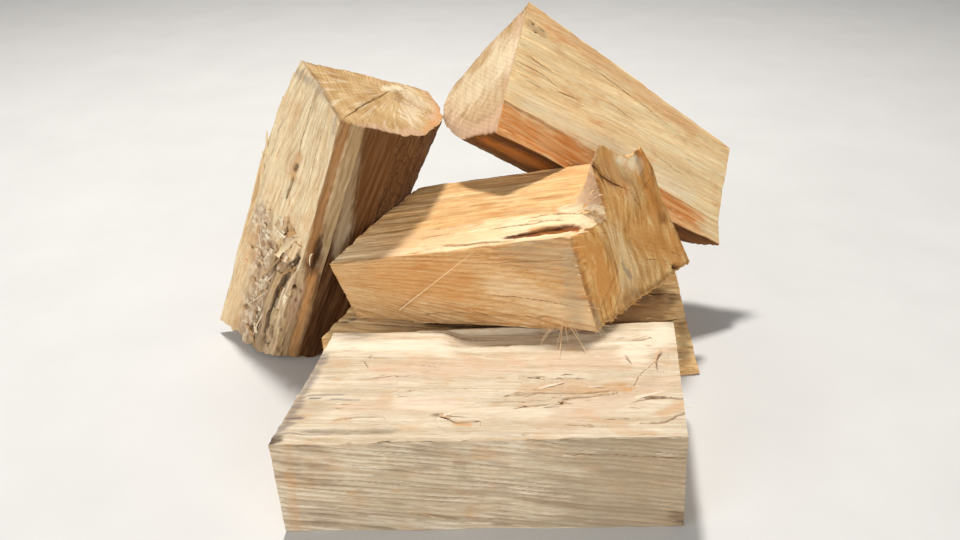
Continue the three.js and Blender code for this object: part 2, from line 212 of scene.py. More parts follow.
BACK_SPLIT = {
    "name": "back_split",
    "slot": "brown_wood",
    "patches": [
        {"side": side, "count": 22, "x": (-200, 200), "across": (4, 100), "length": (6, 26),
         "width": (0.6, 2), "heading": (-9, 9), "rise": (2, 12)}
        for side in range(4)
    ],
    "rims": (1.5, 2),
    "at": (51, 70, 0), "yaw": 9, "lift": 0,
    "start": (-208, 0.6, 0),
    "end": (226, 0.08, -0.18),
    "pith": (-90, 170),
    "edges": [
        [(0, -66, 0), (1, -86, 0)],
        [(0, -72, 92), (1, -80, 9)],
        [(0, -11, 97), (1, -2, 104)],
        [(0, 66, 84), (1, 90, 120)],
        [(0, 73, 0), (1, 93, 0)],
    ],
    "sides": [
        {"swell": 2, "grain": 2, "rib": (8, 0.3, 0.05), "steps": 1.2, "fibres": 0.25},
        {
            "swell": 2.5, "grain": 2, "rib": (10, 0.25, 0.1), "steps": 1.5, "fibres": 0.2,
            "forms": [
                {"kind": "ledge", "at": 0.45, "until": 0.95, "from": 60, "to": 230, "depth": 5},
                {"kind": "split", "path": [(120, 40), (205, 62)], "half": 0.9, "depth": 4},
                {"kind": "split", "path": [(150, 90), (215, 96)], "half": 0.7, "depth": 3},
                {"kind": "split", "path": [(-190, 30), (-120, 26)], "half": 0.6, "depth": 3},
            ],
            "stains": [
                {"mask": "ink", "path": [(-226, 30), (-222, 31)], "half": 3, "strength": 1},
                {"mask": "ink", "path": [(-216, 36), (-212, 37)], "half": 3, "strength": 1},
                {"mask": "ink", "path": [(-200, 40), (-196, 40)], "half": 2.5, "strength": 0.9},
                {"mask": "dark_and_shade", "path": [(200, 10), (212, 60)], "half": 12, "strength": 0.5},
                {"mask": "dark_and_shade", "path": [(196, 84), (202, 90)], "half": 8, "strength": 0.6},
                # Painted shadow under the middle log's flared end
                {"mask": "dark_and_shade", "path": [(120, 96), (172, 100)], "half": 24,
                 "strength": 0.6},
                # Painted shadow in the gap under the middle log's front edge
                {"mask": "dark_and_shade", "path": [(-122, 33), (-70, 30), (-24, 31)],
                 "half": 6, "strength": 1},
                {"mask": "brown", "path": [(90, 50), (150, 60), (170, 84)],
                 "half": 36, "strength": 0.8},
                # Painted light: the left tip is washed paler where the other logs shade it
                {"mask": "pale", "path": [(-228, 20), (-150, 34)], "half": 34, "strength": 0.9},
            ],
        },
        {
            "swell": 2, "grain": 2, "rib": (9, 0.5, 0), "steps": 1.5,
            "forms": [{"kind": "split", "path": [(-60, 50), (80, 46)], "half": 0.8, "depth": 4}],
        },
        {
            "swell": 3, "grain": 2, "rib": (9, 0.5, 0.06), "steps": 1.6,
            "forms": [
                {"kind": "knot", "at": 0.5, "x": -60, "reach": 0.22, "length": 24, "height": 6},
                {"kind": "split", "path": [(20, 70), (170, 84)], "half": 1, "depth": 5},
                {"kind": "split", "path": [(-180, 36), (-110, 30)], "half": 0.7, "depth": 3},
            ],
            "stains": [
                {"mask": "warm", "path": [(-66, 52), (-54, 52)], "half": 13, "strength": 0.9},
                {"mask": "dark_and_shade", "path": [(-61, 52), (-59, 52)], "half": 5, "strength": 0.7},
            ],
        },
        {"swell": 0, "grain": 0, "rib": (9, 0, 0), "steps": 0, "flat": True},
    ],
}

# The far end of this log flares into a knotty swelling that stands above the top side
MIDDLE_SPLIT = {
    "name": "middle_split",
    "slot": "orange_wood",
    "tuft": [
        ((101, -43, 117), (84, -62, 117), (72, -88, 110.5), 1.5),
        ((101, -43, 117), (88, -52, 119), (75, -70, 106), 1.2),
        ((101, -43, 117), (90, -48, 120), (81, -63, 107), 1.2),
        ((101, -43, 117), (98, -66, 120), (90, -95, 111.5), 1.3),
        ((101, -43, 117), (97, -80, 121), (91, -120, 112.5), 1.0),
        ((101, -43, 117), (113, -74, 122), (123, -113, 112.5), 2.2),
        ((101, -43, 117), (103, -60, 120), (104, -85, 111.5), 1.2),
        ((101, -43, 117), (110, -54, 121), (117, -70, 113), 1.1),
    ],
    "slivers": [
        {"side": 0, "x": -152, "across": 8, "length": 152, "width": 1.5, "heading": 37, "rise": 0,
         "turn": 0, "sink": -3.4, "pale": 0.6},
        {"side": 1, "x": 92, "across": 12, "length": 18, "width": 3, "heading": 20, "rise": 24,
         "pale": 1},
    ],
    "patches": [
        {"side": 1, "count": 24, "x": (84, 112), "across": (34, 54), "length": (5, 13),
         "width": (1, 3), "heading": (-25, 25), "rise": (4, 30), "curl": (-30, 10)},
        {"side": 2, "count": 26, "x": (88, 122), "across": (0, 12), "length": (5, 12),
         "width": (0.8, 2.4), "heading": (-40, 30), "rise": (6, 40), "curl": (-20, 40)},
        {"side": 1, "count": 40, "x": (-130, 60), "across": (2, 60), "length": (5, 22),
         "width": (0.5, 1.6), "heading": (-9, 9), "rise": (2, 9)},
        {"side": 0, "count": 30, "x": (-140, 110), "across": (6, 110), "length": (6, 20),
         "width": (0.4, 1.1), "heading": (-8, 8), "rise": (2, 7)},
        {"side": 0, "count": 46, "x": (-130, 130), "across": (0, 3), "length": (2, 7),
         "width": (0.4, 1.2), "heading": (-80, -10), "rise": (0, 30)},
        {"side": 0, "count": 24, "x": (100, 128), "across": (0, 120), "length": (3, 8),
         "width": (0.5, 1.6), "heading": (-30, 30), "rise": (5, 50)},
        {"side": 9, "count": 40, "x": (70, 175), "across": (0, 160), "length": (3, 12),
         "width": (0.5, 2), "heading": (-40, 40), "rise": (5, 50)},
        {"side": 8, "count": 20, "x": (-120, 180), "across": (0, 90), "length": (4, 16),
         "width": (0.5, 2), "heading": (-10, 10), "rise": (2, 14)},
        {"side": 6, "count": 16, "x": (-120, 160), "across": (0, 40), "length": (4, 16),
         "width": (0.5, 2), "heading": (-10, 10), "rise": (2, 14)},
    ],
    "rims": (1.5, 4),
    "at": (38.5, 53.8, 173.5), "yaw": -3, "lift": 10,
    "start": (-148.5, 0.84, -0.2),
    "end": (152, 0.69, -0.24),
    "pith": (150, 130),
    "edges": [
        [(0, -64, -46), (0.85, -110, -68), (1, -117, -74)],
        [(0, -65, 33), (0.85, -97, 42), (1, -101, 43)],
        [(0, -30, 43), (0.85, -52, 50), (0.95, -46, 43), (1, -41, 31)],
        [(0, -12, 48), (0.85, -34, 53), (0.9, -34, 58), (0.95, -35, 70), (1, -32, 97)],
        [(0, 8, 52), (0.85, -14, 56), (0.9, -13, 64), (0.95, -10, 88), (1, -9, 111)],
        [(0, 28, 56), (0.85, 20, 59), (0.9, 22, 62), (0.95, 25, 67), (1, 27, 77)],
        [(0, 60, 63), (0.3, 63, 62), (0.6, 67, 60), (0.8, 64, 61), (0.95, 54, 68), (1, 52, 78)],
        [(0, 64, 36), (0.85, 58, 36), (1, 60, 47)],
        [(0, 66, 0), (0.85, 60, -4), (1, 56, 5)],
        [(0, 69, -48), (0.85, 64, -92), (1, 64, -97)],
    ],
    "sides": [
        {
            "swell": 2, "grain": 2, "rib": (9.4, 1.1, 0.05), "steps": 1.2, "fibres": 0.22,
            "wander": 3, "keen": 0.35, "fan": (-148, 120, 0.8), "wash": {"brown": 0.15},
            "forms": [
                {"kind": "ledge", "at": 0.14, "until": -0.3, "from": -130, "to": 60, "depth": 7},
                {"kind": "split", "path": [(-20, 84), (30, 86), (74, 92)],
                 "half": 0.5, "depth": 2},
                {"kind": "split", "path": [(-30, 40), (26, 37), (70, 30)],
                 "half": 0.6, "depth": 3},
            ],
            "stains": [
                {"mask": "grey", "path": [(20, 106), (70, 90)], "half": 30, "strength": 0.6},
                {"mask": "grey", "path": [(72, 100), (66, 10)], "half": 13, "strength": 0.55},
                {"mask": "pale", "path": [(-10, 50), (80, 20)], "half": 22, "strength": 0.35},
                {"mask": "warm", "path": [(-140, 60), (-70, 60)], "half": 34, "strength": 0.5},
            ],
        },
        {
            "swell": 1.5, "grain": 1.2, "rib": (11, 0.12, 0.03), "steps": 0.6,
            # Washed paler than the front: partly the split face's own tone, partly painted light on the
            # lit top
            "fibres": 0.08, "wash": {"pale": 0.48},
            "forms": [
                {"kind": "gash", "path": [(-4, 11), (29, 13), (57, 18), (90, 28)],
                 "half": 8, "depth": 9},
                {"kind": "split", "path": [(-74, 9), (-30, 7), (12, 3)], "half": 1.2, "depth": 5},
                {"kind": "split", "path": [(-100, 28), (-60, 30)], "half": 0.5, "depth": 2},
                {"kind": "flap", "path": [(-20, 30), (20, 30), (74, 38)],
                 "wide": 12, "half": 0.5, "height": 1.8},
                {"kind": "flap", "path": [(30, 44), (60, 46), (96, 52)],
                 "wide": 9, "half": 0.4, "height": 1.6},
            ],
            "stains": [
                {"mask": "warm", "path": [(-130, 30), (-70, 50)], "half": 46, "strength": 0.45},
                {"mask": "pale", "path": [(10, 32), (90, 40)], "half": 14, "strength": 0.7},
                {"mask": "pale", "path": [(-140, 6), (70, 10)], "half": 8, "strength": 0.55},
                {"mask": "warm", "path": [(30, 20), (78, 21)], "half": 4, "strength": 0.9},
            ],
        },
        {
            "swell": 1.5, "grain": 1.2, "rib": (11, 0.2, 0), "steps": 0.4,
            "stains": [
                {"mask": "pale", "path": [(70, 4), (112, 4)], "half": 10, "strength": 1},
                {"mask": "rose", "path": [(100, 20), (112, 50)], "half": 18, "strength": 1},
                {"mask": "brown", "path": [(108, 14), (122, 60)], "half": 9, "strength": 0.5},
            ],
        },
        {
            "swell": 1.5, "grain": 1.2, "rib": (11, 0.2, 0), "steps": 0.4,
            "stains": [
                {"mask": "rose", "path": [(106, 0), (118, 24)], "half": 12, "strength": 1},
                {"mask": "brown", "path": [(116, 0), (124, 30)], "half": 7, "strength": 0.6},
            ],
        },
        {"swell": 1.5, "grain": 1.2, "rib": (11, 0.2, 0), "steps": 0.4},
        {"swell": 1.5, "grain": 1.2, "rib": (11, 0.2, 0), "steps": 0.4},
        {"swell": 3, "grain": 2, "rib": (9, 0.5, 0), "steps": 1},
        {"swell": 3, "grain": 2, "rib": (9, 0.5, 0), "steps": 1},
        {"swell": 3, "grain": 2, "rib": (9, 0.5, 0), "steps": 1.2},
        {"swell": 2, "grain": 2, "rib": (9, 0.5, 0), "steps": 1.2},
    ],
    "cap": {
        "lump": 2.4, "rim": 0.8,
        "forms": [
            {"path": [(-34, 100), (-24, 80), (-13, 62), (-4, 50)], "half": 1.2, "depth": 4},
            {"path": [(-14, 64), (2, 42), (12, 26), (18, 10)], "half": 0.6, "depth": 2},
            {"path": [(-26, 88), (-23, 56)], "half": 0.6, "depth": 2},
            {"path": [(-10, -45), (14, -60)], "half": 0.5, "depth": 1.5},
            {"kind": "swelling", "at": (-30, 96), "reach": (10, 24), "height": 4},
            {"kind": "swelling", "at": (24, 74), "reach": (13, 34), "height": -9},
            {"kind": "swelling", "at": (46, 46), "reach": (9, 34), "height": 5},
            {"kind": "swelling", "at": (-4, 40), "reach": (26, 14), "height": 5},
            {"kind": "swelling", "at": (-70, 10), "reach": (26, 40), "height": 5},
            {"kind": "swelling", "at": (-20, -10), "reach": (30, 22), "height": -5},
            {"kind": "hole", "at": (37, -87), "reach": 7, "depth": 9},
        ],
        "stains": [
            {"mask": "rose", "path": [(-4, 74), (10, 40)], "half": 18, "strength": 0.35},
            {"mask": "warm", "path": [(-8, 96), (-2, 50)], "half": 13, "strength": 0.6},
            {"mask": "brown", "path": [(-32, 104), (-26, 86)], "half": 10, "strength": 0.7},
            {"mask": "brown", "path": [(-33, 100), (-24, 78), (-14, 62)], "half": 6,
             "strength": 0.8},
            {"mask": "dark_and_shade", "path": [(-32, 98), (-24, 74)], "half": 3, "strength": 0.6},
            {"mask": "warm", "path": [(-30, 80), (-20, 20)], "half": 12, "strength": 0.5},
            {"mask": "pale", "path": [(14, 80), (32, 70), (34, 58)], "half": 8, "strength": 1},
            {"mask": "brown", "path": [(42, 72), (52, 52), (40, 20), (44, -20)],
             "half": 8, "strength": 0.75},
            {"mask": "dark_and_shade", "path": [(39, 66), (36, 30)], "half": 2, "strength": 0.5},
            {"mask": "warm", "path": [(44, 60), (38, 0)], "half": 16, "strength": 1},
            {"mask": "warm", "path": [(-104, 30), (-80, 10), (-84, -40)],
             "half": 18, "strength": 1},
            {"mask": "brown", "path": [(8, 56), (16, 30), (10, 0)], "half": 7, "strength": 0.25},
            {"mask": "brown", "path": [(-66, 20), (-60, -30)], "half": 5, "strength": 0.3},
            {"mask": "pale", "path": [(-40, 10), (-30, -20), (-46, -50)],
             "half": 16, "strength": 0.3},
            {"mask": "brown", "path": [(-108, 36), (-112, -60)], "half": 6, "strength": 0.6},
            {"mask": "grey", "path": [(-108, 36), (-116, -66)], "half": 9, "strength": 0.9},
            {"mask": "warm", "path": [(10, -20), (40, -70)], "half": 26, "strength": 0.9},
            {"mask": "brown", "path": [(-60, -66), (10, -92), (60, -94)],
             "half": 7, "strength": 0.5},
            {"mask": "grey", "path": [(-50, -60), (-10, -60)], "half": 20, "strength": 0.3},
            {"mask": "ink", "path": [(-44, -28), (-41, -48)], "half": 4, "strength": 0.7},
        ],
    },
}

# Side 0 is the lit face, sides 2 to 4 are the bark. The foot is torn, not sawn.
LEFT_SPLIT = {
    "name": "left_split",
    "slot": "tan_wood",
    "slivers": [
        {"side": 0, "x": 128, "across": 105, "length": 40, "width": 7, "heading": 12, "rise": 3,
         "thick": 1.6},
        {"side": 0, "x": 92, "across": 105, "length": 42, "width": 7, "heading": 12, "rise": 3,
         "thick": 1.6},
        {"side": 0, "x": 44, "across": 105, "length": 40, "width": 7, "heading": 12, "rise": 3,
         "thick": 1.6},
        {"side": 0, "x": 18, "across": 105, "length": 36, "width": 7, "heading": 12, "rise": 3,
         "thick": 1.6},
        {"side": 0, "x": -12, "across": 12, "length": 24, "width": 14, "heading": 182, "rise": 20,
         "blunt": 0.7, "thick": 3, "warm": 0.3},
        {"side": 0, "x": -14, "across": 26, "length": 30, "width": 12, "heading": 186, "rise": 16,
         "blunt": 0.5, "thick": 3, "pale": 0.3},
        {"side": 0, "x": -88, "across": 4, "length": 26, "width": 9, "heading": 172, "rise": 14,
         "blunt": 0.6, "thick": 3, "pale": 0.8},
        {"side": 0, "x": -112, "across": 11, "length": 70, "width": 12, "heading": 180, "rise": 3,
         "blunt": 0.7, "thick": 4, "grey": 0.8},
        {"side": 0, "x": -60, "across": 24, "length": 60, "width": 11, "heading": 180, "rise": 4,
         "blunt": 0.5, "thick": 4, "brown": 0.3, "grey": 0.4},
        {"side": 0, "x": -36, "across": 22, "length": 22, "width": 3, "heading": -70, "rise": 20,
         "curl": 20, "pale": 1, "thick": 1.4},
        {"side": 0, "x": -24, "across": 34, "length": 26, "width": 3.4, "heading": 80, "rise": 26,
         "curl": -20, "pale": 1},
        {"side": 0, "x": -5, "across": 12, "length": 24, "width": 1.6, "heading": -30, "rise": 40,
         "turn": -70, "curl": 60, "pale": 0.6},
        {"side": 0, "x": -19, "across": 40, "length": 22, "width": 2, "heading": 60, "rise": 40,
         "turn": 60, "curl": 50, "pale": 0.9},
        {"side": 6, "x": -14, "across": 20, "length": 18, "width": 2.4, "heading": 160, "rise": 24,
         "turn": 60, "curl": 20, "pale": 1},
        {"side": 6, "x": -44, "across": 26, "length": 12, "width": 1.6, "heading": 60, "rise": 40,
         "curl": 60, "pale": 0.6},
    ],
    "patches": [
        {"side": 0, "count": 44, "x": (-100, -26), "across": (50, 92), "length": (4, 10), "brown": 0.34,
         "width": (3.5, 8), "heading": (-80, 80), "rise": (-5, 35), "curl": (-40, 40),
         "blunt": 0.8, "thick": 2},
        {"side": 0, "count": 50, "x": (-195, -95), "across": (38, 76), "length": (4, 10), "brown": 0.34,
         "width": (3.5, 8), "heading": (-80, 80), "rise": (-5, 35), "curl": (-40, 40),
         "blunt": 0.8, "thick": 2},
        {"side": 0, "count": 22, "x": (-60, 0), "across": (16, 60), "length": (8, 18), "brown": 0.3,
         "width": (4, 10), "heading": (150, 210), "rise": (4, 30), "blunt": 0.6, "thick": 2},
        {"side": 0, "count": 26, "x": (-150, -40), "across": (6, 50), "length": (14, 40), "brown": 0.4,
         "width": (1.2, 4), "heading": (172, 188), "rise": (1, 8), "thick": 1},
        {"side": 0, "count": 9, "x": (-70, 4), "across": (14, 90), "length": (9, 18),
         "width": (1.2, 2.4), "heading": (-180, 180), "rise": (20, 60), "curl": (40, 150),
         "turn": (-90, 90), "thick": 1},
        {"side": 0, "count": 36, "x": (-10, 165), "across": (4, 106), "length": (8, 26),
         "width": (0.5, 1.5), "heading": (-7, 7), "rise": (2, 9)},
        {"side": 1, "count": 50, "x": (-150, 160), "across": (6, 150), "length": (8, 30),
         "width": (0.6, 2.4), "heading": (-9, 9), "rise": (2, 14)},
        {"side": 1, "count": 50, "x": (-165, -90), "across": (6, 150), "length": (4, 14),
         "width": (1, 4), "heading": (100, 260), "rise": (10, 50), "blunt": 0.3},
    ],
    "rims": (0, 1.5),
    "at": (-194.7, 115.2, 172), "yaw": -3, "lift": 65,
    "start": (-169.6, 0.27, -0.43),
    "end": (176, 0.12, 0.12),
    "pith": (48, -14),
    "foot_jag": 6,
    "foot_reach": {0: 3, 1: 12},
    "edges": [
        [(0, -66, -8), (0.2, -59, 4), (0.4, -68, 8), (1, -97, 27)],
        [(0, 6, 82), (0.3, -2, 94), (0.65, -4, 108), (0.85, -13, 104), (1, -17, 101)],
        [(0, 71, -64), (1, 96, -52)],
        [(0, 27, -86), (1, 60, -78)],
        [(0, 4, -88), (1, -10, -68)],
        [(0, -43, -74), (1, -49, -41)],
        [(0, -66, -35), (1, -79, 0)],
    ],
    "sides": [
        {
            "swell": 3, "grain": 2.2, "rib": (7, 0.4, 0.02), "steps": 1.4, "fibres": 0.3,
            # Washed paler than the other split sides: partly the wood's own tone, partly painted light on
            # the lit face
            "wash": {"pale": 0.14},
            "forms": [
                {"kind": "ledge", "at": 0.3, "until": 0.8, "from": -190, "to": -20, "depth": 6},
                {"kind": "torn", "path": [(-60, 20), (-110, 18), (-205, 20)], "half": 34,
                 "chunk": (130, 12), "depth": 12, "shades": ("grey", "brown"), "gloom": 1},
                {"kind": "torn", "path": [(-22, 90), (-58, 72), (-106, 58), (-135, 56), (-210, 66)],
                 "half": 21, "chunk": (14, 8), "depth": 9, "shades": ("pale", "rose"),
                 "gloom": 0.35},
                {"kind": "torn", "path": [(-4, 44), (-20, 30), (-52, 34)], "half": 18,
                 "chunk": (30, 11), "depth": 14, "shades": ("pale", "warm"), "gloom": 0.9},
                {"kind": "hole", "x": -43, "across": 13, "reach": (17, 9), "depth": 11},
                {"kind": "knot", "at": 0.47, "x": 72, "reach": 0.1, "length": 12, "height": 4},
                {"kind": "hole", "x": 74, "across": 53, "reach": (3.4, 3), "depth": 6},
                {"kind": "split", "path": [(163, 69), (130, 63), (101, 60), (84, 56)],
                 "half": 0.7, "depth": 3},
                {"kind": "split", "path": [(62, 54), (44, 54), (24, 56)], "half": 0.9, "depth": 4},
                {"kind": "split", "path": [(150, 30), (60, 24)], "half": 0.5, "depth": 2},
                {"kind": "ledge", "at": 0.86, "until": 1.3, "from": -60, "to": 128, "depth": 4},
            ],
            "stains": [
                {"mask": "ink", "path": [(184, 6), (176, 50), (172, 108)],
                 "half": 7, "strength": 0.5},
                {"mask": "ink", "path": [(170, 8), (150, 6)], "half": 4, "strength": 0.4},
                {"mask": "ink", "path": [(170, 64), (146, 62)], "half": 4, "strength": 0.35},
                {"mask": "dark_and_shade", "path": [(75, 53), (71, 53)], "half": 5, "strength": 0.7},
                {"mask": "warm", "path": [(84, 54), (58, 54)], "half": 9, "strength": 0.7},
                {"mask": "dark_and_shade", "path": [(56, 54), (30, 56)], "half": 3, "strength": 0.5},
                {"mask": "brown", "path": [(160, -1), (-10, -1)], "half": 2, "strength": 0.5},
                {"mask": "brown", "path": [(-60, 36), (-190, 36)], "half": 18, "strength": 0.62},
                {"mask": "brown", "path": [(-22, 84), (-58, 66), (-106, 54), (-200, 60)],
                 "half": 22, "strength": 0.56},
                {"mask": "dark_and_shade", "path": [(-52, 14), (-100, 20), (-160, 22)],
                 "half": 3, "strength": 0.8},
                {"mask": "warm", "path": [(-50, 92), (-200, 92)], "half": 18, "strength": 0.3},
            ],
        },
        {
            "bulge": 6, "swell": 4, "grain": 3, "rib": (10, 0.6, 0), "steps": 1.8,
            "forms": [
                {"kind": "split", "path": [(-120, 90), (90, 96)], "half": 1.2, "depth": 6},
                {"kind": "knot", "at": 0.35, "x": -30, "reach": 0.12, "length": 20, "height": 6},
            ],
            "stains": [
                {"mask": "warm", "path": [(-36, 58), (-24, 58)], "half": 16, "strength": 0.9},
                {"mask": "dark_and_shade", "path": [(-31, 58), (-29, 58)], "half": 6, "strength": 0.7},
            ],
        },
        {"bulge": 4, "swell": 2, "grain": 2, "bark": True},
        {"bulge": 5, "swell": 2, "grain": 2, "bark": True},
        {"bulge": 3, "swell": 2, "grain": 2, "bark": True},
        {
            "swell": 2, "grain": 2, "rib": (9, 0.2, 0), "steps": 0.8, "fibres": 0.15,
            # Washed brown: partly a browner surface and partly painted shade on this shaded side
            "wash": {"brown": 1, "dark_and_shade": 0.15},
            "forms": [
                {"kind": "split", "path": [(170, 49), (138, 47), (50, 29), (0, 20)],
                 "half": 0.7, "depth": 2.5},
            ],
            "stains": [
                {"mask": "pale", "path": [(176, 66), (138, 61), (50, 41), (0, 34)],
                 "half": 12, "strength": 0.5},
                {"mask": "grey", "path": [(176, 66), (138, 61), (50, 41), (0, 34)],
                 "half": 13, "strength": 1},
                # Painted shade low down, where the middle log shields this side
                {"mask": "dark_and_shade", "path": [(-20, 30), (-180, 24)], "half": 30, "strength": 0.7},
            ],
        },
        {
            "swell": 1, "grain": 2, "rib": (7, 0.5, 0), "steps": 0.8, "fibres": 0.5,
            # Painted shade: this shaded side is washed brown
            "wash": {"brown": 0.45},
            "forms": [
                {"kind": "torn", "path": [(-70, 24), (-200, 22)], "half": 11,
                 "chunk": (110, 8), "depth": 6, "shades": ("grey", "brown"), "gloom": 0.9},
                {"kind": "hole", "x": -8, "across": 13, "reach": (16, 5), "depth": 5},
            ],
            "stains": [
                {"mask": "brown", "path": [(180, 25), (40, 24), (-30, 20)],
                 "half": 8, "strength": 0.85},
                {"mask": "warm", "path": [(180, 25), (40, 24), (-20, 20)],
                 "half": 8, "strength": 0.5},
                {"mask": "grey", "path": [(170, 8), (60, 4), (10, 4)],
                 "half": 10, "strength": 1},
                {"mask": "brown", "path": [(176, 2), (120, -4)], "half": 4, "strength": 0.6},
                {"mask": "brown", "path": [(24, 14), (-50, 14)], "half": 10, "strength": 0.6},
                {"mask": "dark_and_shade", "path": [(14, 14), (-30, 14)], "half": 5, "strength": 0.8},
                {"mask": "warm", "path": [(-50, 8), (-190, 6)], "half": 9, "strength": 0.8},
                {"mask": "brown", "path": [(-20, 12), (-190, 8)], "half": 14, "strength": 0.7},
                {"mask": "dark_and_shade", "path": [(-40, 0), (-190, -2)], "half": 6, "strength": 0.8},
            ],
        },
    ],
    "cap": {
        "lump": 1.2, "rim": 0.45,
        "forms": [
            {"path": [(-88, 27), (-30, 14), (25, -2), (44, -8)], "half": 0.7, "depth": 4},
            {"path": [(-34, 84), (-26, 66), (-24, 52)], "half": 0.5, "depth": 2},
        ],
        "stains": [
            {"mask": "rose", "path": [(96, -52), (60, -76), (-10, -66), (-50, -40), (-80, 0)],
             "half": 11, "strength": 1},
            {"mask": "warm", "path": [(96, -52), (60, -76), (-10, -66)],
             "half": 7, "strength": 0.9},
            {"mask": "brown", "path": [(94, -50), (62, -78), (-10, -68), (-50, -42)],
             "half": 4, "strength": 0.4},
            {"mask": "brown", "path": [(44, -16), (30, -22)], "half": 9, "strength": 0.35},
            {"mask": "pale", "path": [(0, -40), (50, -44), (60, -30)], "half": 16, "strength": 0.5},
            {"mask": "pale", "path": [(60, -14), (30, 4)], "half": 6, "strength": 0.7},
            {"mask": "ink", "path": [(-90, 30), (-50, 66), (-20, 98)], "half": 8, "strength": 0.5},
        ],
    },
}

# Side 0 is the narrow orange side, side 1 the large pale face and sides 4 to 6 the bark
TOP_SPLIT = {
    "name": "top_split",
    "slot": "golden_wood",
    "patches": [
        {"side": 1, "count": 50, "x": (-165, 165), "across": (4, 124), "length": (4, 14),
         "width": (0.4, 1), "heading": (-7, 7), "rise": (2, 8)},
        {"side": 0, "count": 16, "x": (-160, 160), "across": (2, 42), "length": (4, 16),
         "width": (0.5, 1.5), "heading": (-8, 8), "rise": (2, 12)},
        {"side": 2, "count": 40, "x": (-160, 160), "across": (4, 88), "length": (6, 26),
         "width": (0.5, 2), "heading": (-8, 8), "rise": (2, 12)},
        {"side": 3, "count": 12, "x": (-160, 160), "across": (4, 38), "length": (6, 20),
         "width": (0.5, 2), "heading": (-8, 8), "rise": (2, 12)},
    ],
    "rims": (1.2, 1.2),
    "at": (140.5, 189.2, 234.6), "yaw": 14, "lift": -32,
    "start": (-175, -0.38, 0.12),
    "end": (175, -0.72, 0.2),
    "pith": (30, 180),
    "cap_at_start": True,
    "edges": [
        [(0, -66, -22), (1, -62, -12)],
        [(0, -42, 16), (1, -43, 12)],
        [(0, 24, 127), (1, 9, 105)],
        [(0, 38, 36), (1, 38, 37)],
        [(0, 43, -4), (1, 42, 3)],
        [(0, 36, -40), (1, 33, -26)],
        [(0, 7, -56), (0.6, 7, -52), (1, 4, -38)],
        [(0, -31, -53), (0.6, -33, -48), (1, -35, -34)],
    ],
    "sides": [
        {
            "swell": 1.5, "grain": 1.5, "rib": (8, 0.3, 0.05), "steps": 0.8,
            "wash": {"brown": 0.12},
            "stains": [
                {"mask": "warm", "path": [(-170, 22), (150, 20)], "half": 36, "strength": 1},
                {"mask": "dark_and_shade", "path": [(-160, 42), (-60, 43)], "half": 4, "strength": 0.5},
            ],
        },
        {
            "swell": 1.5, "grain": 1.2, "rib": (4.6, 0.22, -0.06), "steps": 0.45,
            "fibres": 0.12,
            "forms": [
                {"kind": "split", "path": [(-60, 100), (0, 96), (80, 88)],
                 "half": 0.5, "depth": 2},
                {"kind": "hole", "x": -154, "across": 107, "reach": (2.4, 1.4), "depth": 4},
                {"kind": "hole", "x": -147, "across": 99, "reach": (2.6, 1.5), "depth": 4},
                {"kind": "hole", "x": -140, "across": 106, "reach": (2, 1.1), "depth": 3},
                {"kind": "split", "path": [(-160, 52), (-126, 54), (-92, 51)],
                 "half": 0.6, "depth": 2},
                {"kind": "split", "path": [(-150, 66), (-106, 64)], "half": 0.5, "depth": 2},
                {"kind": "split", "path": [(-140, 36), (-112, 36)], "half": 0.5, "depth": 1.5},
                {"kind": "split", "path": [(-96, 44), (-58, 50)], "half": 0.6, "depth": 2},
                {"kind": "split", "path": [(-20, 70), (30, 66)], "half": 0.4, "depth": 1.5},
                {"kind": "split", "path": [(60, 40), (130, 34)], "half": 0.4, "depth": 1.5},
            ],
            "stains": [
                {"mask": "brown", "path": [(-158, 104), (-136, 102)], "half": 6, "strength": 0.35},
                {"mask": "pale", "path": [(-120, 12), (150, 12)], "half": 14, "strength": 0.6},
                {"mask": "warm", "path": [(-170, 122), (120, 100)], "half": 13, "strength": 0.5},
            ],
        },
        {"swell": 3, "grain": 2, "rib": (9, 0.5, 0.03), "steps": 1.5},
        {"swell": 2, "grain": 2, "rib": (9, 0.5, 0), "steps": 1.2},
        {"bulge": 3, "swell": 1.5, "grain": 1.5, "bark": True},
        {"bulge": 3, "swell": 1.5, "grain": 1.5, "bark": True},
        {"bulge": 3, "swell": 1.5, "grain": 1.5, "bark": True},
        {
            "swell": 2, "grain": 2, "rib": (9, 0.4, 0), "steps": 1,
            # Painted shade: the underside is washed brown
            "wash": {"brown": 1, "dark_and_shade": 0.12},
            "forms": [
                {"kind": "ledge", "at": 0.5, "until": 1.2, "from": -140, "to": 150, "depth": 5},
            ],
            "stains": [
                # Painted shade: near-black lines near the underside's two edges
                {"mask": "dark_and_shade", "path": [(-190, 4), (190, 4)], "half": 9, "strength": 0.6},
                {"mask": "dark_and_shade", "path": [(-190, 40), (190, 36)], "half": 8, "strength": 0.7},
                {"mask": "warm", "path": [(-150, 20), (150, 20)], "half": 9, "strength": 0.6},
            ],
        },
    ],
    "cap": {
        "lump": 1.6,
        "stains": [
            {"mask": "rose", "path": [(26, -56), (-8, -52), (-38, -48), (-58, -26), (-62, -4)],
             "half": 19, "strength": 1},
            {"mask": "brown", "path": [(26, -60), (-8, -58), (-40, -52), (-64, -24), (-66, 4)],
             "half": 14, "strength": 0.4},
            {"mask": "brown", "path": [(22, -38), (-3, -32), (-29, -27), (-40, -9), (-43, 12)],
             "half": 3, "strength": 0.3},
            {"mask": "rose", "path": [(22, -46), (-5, -40), (-36, -34), (-48, -12), (-50, 8)],
             "half": 8, "strength": 0.7},
            {"mask": "pale", "path": [(0, 60), (20, -20)], "half": 30, "strength": 0.5},
            {"mask": "rose", "path": [(24, 110), (-30, 30)], "half": 6, "strength": 0.7},
        ],
    },
}


def mix(a, b, share):
    return a + (b - a) * share


def smooth(value):
    value = np.clip(value, 0, 1)
    return value * value * (3 - 2 * value)


